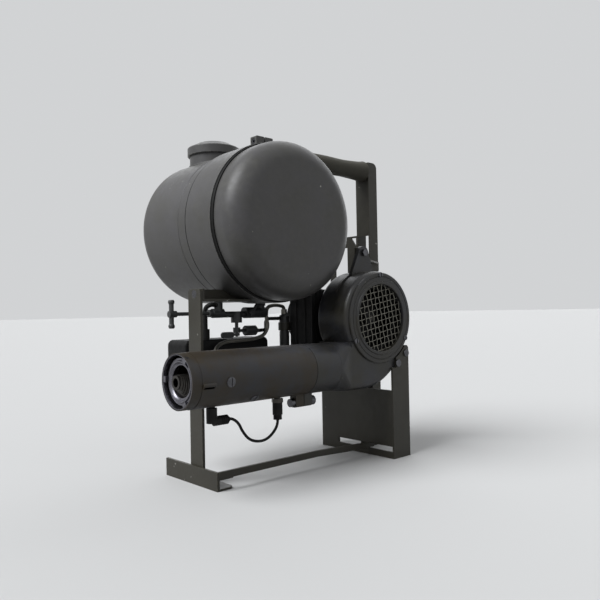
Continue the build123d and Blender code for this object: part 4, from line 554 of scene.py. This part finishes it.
class OBJECT_OT_heater_lead(bpy.types.Operator):
    """Hangs the igniter lead between its two connectors"""

    bl_idname = "object.heater_lead"
    bl_label = "Igniter Lead"

    # From the elbow plug to the straight one, as (x, z) in millimetres.
    route = ((-135.0, 90.0), (-130.0, 90.0), (-120.5, 83.0), (-115.0, 72.0), (-105.0, 60.5),
             (-92.0, 55.8), (-78.0, 55.8), (-66.0, 62.5), (-57.7, 72.5), (-57.7, 79.5))

    def execute(self, context):
        curve = bpy.data.curves.new("igniter_lead_line", "CURVE")
        curve.dimensions = "3D"
        curve.bevel_depth = sizes().lead / 2
        curve.bevel_resolution = 6
        curve.resolution_u = 10
        line = curve.splines.new("NURBS")
        line.points.add(len(self.route) - 1)
        for point, (x, z) in zip(line.points, self.route):
            point.co = (x * MM, LEAD_Y * MM, z * MM, 1)
        line.order_u = 3
        line.use_endpoint_u = True
        lead = bpy.data.objects.new("igniter_lead_line", curve)
        context.scene.collection.objects.link(lead)
        paint(lead, "black_rubber")
        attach(lead, "chassis")
        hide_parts("igniter_lead")
        return {"FINISHED"}


class OBJECT_OT_heater_tank(bpy.types.Operator):
    """Builds the tank skin, its weld beads, the strap with its rubber liner and the filler cap"""

    bl_idname = "object.heater_tank"
    bl_label = "Tank, Strap and Cap"

    def execute(self, context):
        dressed("tank_shell", SQUARE)
        dressed("cap_shell", BOX_EDGE)
        for name in ("fuel_strainer", "cap_seal"):
            dressed(name, SQUARE)
        dressed("tank_strap", FITTING_EDGE)
        dressed("strap_bolt", SHEET_EDGE)
        self.liner()
        self.welds()
        return {"FINISHED"}

    def liner(self):
        """Rubber strip under the strap. Its rolled lips stick out past the strap's edges as painted shade,
        for the shadow gaps there.
        """
        inside, sunk = TANK_R + 0.05, STRAP_INSIDE - 0.1
        # The lips reach 5.1 mm and 2.9 mm past the strap's edges: dark rubber as painted shade of the gaps
        # there.
        near, near_lip = STRAP_NEAR - 5.1, 1.0
        far, far_lip = STRAP_FAR + 2.9, 1.1
        near_flank, far_flank = STRAP_INSIDE + 0.2, STRAP_INSIDE + 0.3
        profile = [(inside, near), (near_flank, near), *lip(near_lip, STRAP_INSIDE - 0.3, near + near_lip),
                   (near_flank, STRAP_NEAR + 0.1), (sunk, STRAP_NEAR + 0.5), (sunk, STRAP_FAR - 0.5),
                   (far_flank, STRAP_FAR + 0.1), *lip(far_lip, STRAP_INSIDE, far - far_lip), (inside, far)]
        ring = lathe(profile, TANK_AXIS, Y, sizes().round_steps)
        settle(ring, "strap_liner_rubber_and_painted_gaps", "black_rubber", replaced=("strap_liner",))

    def welds(self):
        """Beads where the two halves of the tank, the neck, the grip's foot and the clamp ears are welded."""
        beads("tank_weld_bead", [round_tank(TANK_R - 0.5, TANK_SEAM_Y)], SEAM_BEAD, "tank_paint")
        beads("neck_weld_bead", [self.neck_line()], NECK_BEAD, "tank_paint")
        lines = []
        for y in (GRIP_NEAR - 0.4, GRIP_FAR + 0.4):
            lines.append(round_tank(STRAP_R + 0.4, y, *GRIP_FOOT_ARC, step=0.5))
        out = EAR_HALF + WELD_OFF
        z = TANK_AXIS[2] + sqrt((STRAP_R + WELD_OFF) ** 2 - out ** 2)
        for x in (TANK_AXIS[0] - out, TANK_AXIS[0] + out):
            lines.append(straight((x, CLAMP_NEAR, z), (x, CLAMP_FAR, z)))
        beads("strap_weld_bead", lines, STRAP_BEAD, "frame_paint")

    def neck_line(self):
        """Where the neck meets the barrel and, past its end, the tank's rounded end."""
        radius, line = NECK_R + WELD_OFF, []
        for n in range(181):
            turn = radians(2 * n)
            dx, y = radius * cos(turn), NECK_Y + radius * sin(turn)
            past = max(y - BARREL_END, 0)
            skin = TANK_R - END_ROUND + sqrt(END_ROUND ** 2 - past ** 2)
            line.append((TANK_AXIS[0] + dx, y, TANK_AXIS[2] + sqrt(skin ** 2 - dx ** 2)))
        return line


class OBJECT_OT_heater_frame(bpy.types.Operator):
    """Rounds the bars, the foot, the stand and the bolts, and lays their weld beads"""

    bl_idname = "object.heater_frame"
    bl_label = "Frame, Foot and Stand"

    rounded = ("front_foot", "front_post", "tank_saddle", "base_rail", "rear_stand", "rear_post",
               "handle_bar", "stand_bolts", "frame_bolts", "box_bracket", "stay_bracket")

    def execute(self, context):
        for name in self.rounded:
            dressed(name)
        dressed("post_spacers", SHEET_EDGE)
        dressed("handle_grip", SQUARE)
        self.welds()
        return {"FINISHED"}

    def welds(self):
        """Beads round the foot of the front post, at the rail's end and round both ends of each spacer."""
        back, floor, high = POST_BACK + WELD_OFF, FOOT_FLOOR + WELD_OFF, FOOT_TOP - 0.5
        lines = [straight((back, POST_NEAR, floor), (back, POST_FAR, floor))]
        front = POST_FRONT - WELD_OFF
        for y in (POST_NEAR - WELD_OFF, POST_FAR + WELD_OFF):
            lines.append(straight((front, y, FOOT_FLOOR + 1), (front, y, high)))
        inside, beside = POST_FRONT + WELD_OFF, RAIL_FAR + WELD_OFF
        lines.append(straight((inside, beside, RAIL_LOW + 0.5), (inside, beside, high)))
        middle, under = (RAIL_NEAR + RAIL_FAR) / 2, RAIL_LOW - 0.3
        lines.append(straight((POST_FRONT + 1, middle, under), (POST_FRONT + 21, middle, under)))
        turns = [radians(10 * n) for n in range(37)]
        radius = SPACER_R + WELD_OFF
        for x in (SPACER_FRONT + 0.3, SPACER_BACK - 0.3):
            for height in SPACER_HEIGHTS:
                lines.append([(x, FRAME_Y + radius * cos(t), height + radius * sin(t)) for t in turns])
        beads("frame_weld_bead", lines, FRAME_BEAD, "frame_paint")


class OBJECT_OT_heater_burner(bpy.types.Operator):
    """Finishes the burner tube, its nozzle and everything inside it"""

    bl_idname = "object.heater_burner"
    bl_label = "Burner Tube and Nozzle"

    def execute(self, context):
        dressed("burner_casing", THIN_EDGE)
        for name in ("nozzle_ring", "outlet_dish", "combustion_chamber", "air_diffuser", "burner_head",
                     "joint_gasket", "igniter_plug"):
            dressed(name, SQUARE)
        for name in ("fuel_inlet", "sensor_elbow", "igniter_connector", "latch_bolt"):
            dressed(name, FITTING_EDGE)
        return {"FINISHED"}


class OBJECT_OT_heater_blower(bpy.types.Operator):
    """Finishes the blower housing, its wheel and motor, and weaves the wire mesh over the intake"""

    bl_idname = "object.heater_blower"
    bl_label = "Blower and Motor"

    def execute(self, context):
        for name in ("blower_front", "blower_rear", "outlet_neck"):
            dressed(name, SHEET_EDGE, angle=38)
        for name in ("intake_ring", "motor_case", "motor_cap", "motor_band"):
            dressed(name, SHEET_EDGE)
        for name in ("impeller", "motor_rotor", "motor_bearings"):
            dressed(name, SQUARE)
        dressed("pan_screws", THIN_EDGE)
        self.mesh()
        return {"FINISHED"}

    def mesh(self):
        """Plain weave of round wires, each one bent over and under its neighbours."""
        pitch, wire = sizes().wire_pitch / MM, sizes().wire / MM
        tilt, step, count = radians(MESH_TILT), pitch / 6, int(MESH_R / pitch)
        lines = []
        for crosswise in (0, 1):
            for n in range(-count, count):
                across = (n + 0.5) * pitch
                half = sqrt(MESH_R ** 2 - across ** 2)
                side = 1 if (n + crosswise) % 2 else -1
                line = []
                for place in range(int(2 * half / step) + 1):
                    run = place * step - half
                    swing = 0.5 * wire * side * cos(pi * (run / pitch - 0.5))
                    u, v = (run, across) if crosswise else (across, run)
                    line.append((BLOWER_AXIS[0] + u * cos(tilt) + v * sin(tilt), MESH_Y + swing,
                                 BLOWER_AXIS[2] - u * sin(tilt) + v * cos(tilt)))
                lines.append(line)
        bars = tubes(lines, wire / 2, 1)
        settle(bars, "intake_wire_mesh", "mesh_wire", replaced=("intake_grille",), angle=80)


class OBJECT_OT_heater_controls(bpy.types.Operator):
    """Finishes the control box, the switch, the plug socket and the whole fuel line"""

    bl_idname = "object.heater_controls"
    bl_label = "Control Box and Fuel Line"

    def execute(self, context):
        dressed("control_box", BOX_EDGE)
        dressed("box_lid", LID_EDGE)
        for name in ("circuit_board", "switch_body", "switch_toggle", "power_inlet"):
            dressed(name, MOULDED_EDGE)
        for name in ("fuel_manifold", "valve_tee", "selector_lever", "drain_lever", "fuel_filter",
                     "fuel_pump"):
            dressed(name, FITTING_EDGE)
        for name in ("feed_pipe", "supply_hose", "sender_lead"):
            dressed(name, SQUARE)
        return {"FINISHED"}


OPERATORS = (OBJECT_OT_heater_stage, OBJECT_OT_heater_lead, OBJECT_OT_heater_tank, OBJECT_OT_heater_frame,
             OBJECT_OT_heater_burner, OBJECT_OT_heater_blower, OBJECT_OT_heater_controls)


class VIEW3D_PT_heater(bpy.types.Panel):
    """Lists the settings and the pieces of the heater"""

    bl_idname = "VIEW3D_PT_heater"
    bl_label = "Diesel Air Heater"
    bl_space_type = "VIEW_3D"
    bl_region_type = "UI"
    bl_category = "Heater"

    def draw(self, context):
        for group in (context.scene.heater_sizes, context.scene.heater_colours):
            box = self.layout.box()
            for name in group.bl_rna.properties.keys():
                if name not in ("rna_type", "name"):
                    box.prop(group, name)
        for operator in OPERATORS:
            self.layout.operator(operator.bl_idname)


CLASSES = (HeaterColours, HeaterSizes, *OPERATORS, VIEW3D_PT_heater)


def register():
    for cls in CLASSES:
        bpy.utils.register_class(cls)
    bpy.types.Scene.heater_colours = PointerProperty(type=HeaterColours)
    bpy.types.Scene.heater_sizes = PointerProperty(type=HeaterSizes)


def unregister():
    del bpy.types.Scene.heater_sizes
    del bpy.types.Scene.heater_colours
    for cls in reversed(CLASSES):
        bpy.utils.unregister_class(cls)


def main():
    register()
    FINISH.update(finishes())
    for operator in OPERATORS:
        group, name = operator.bl_idname.split(".")
        getattr(getattr(bpy.ops, group), name)()


if __name__ == "__main__":
    main()
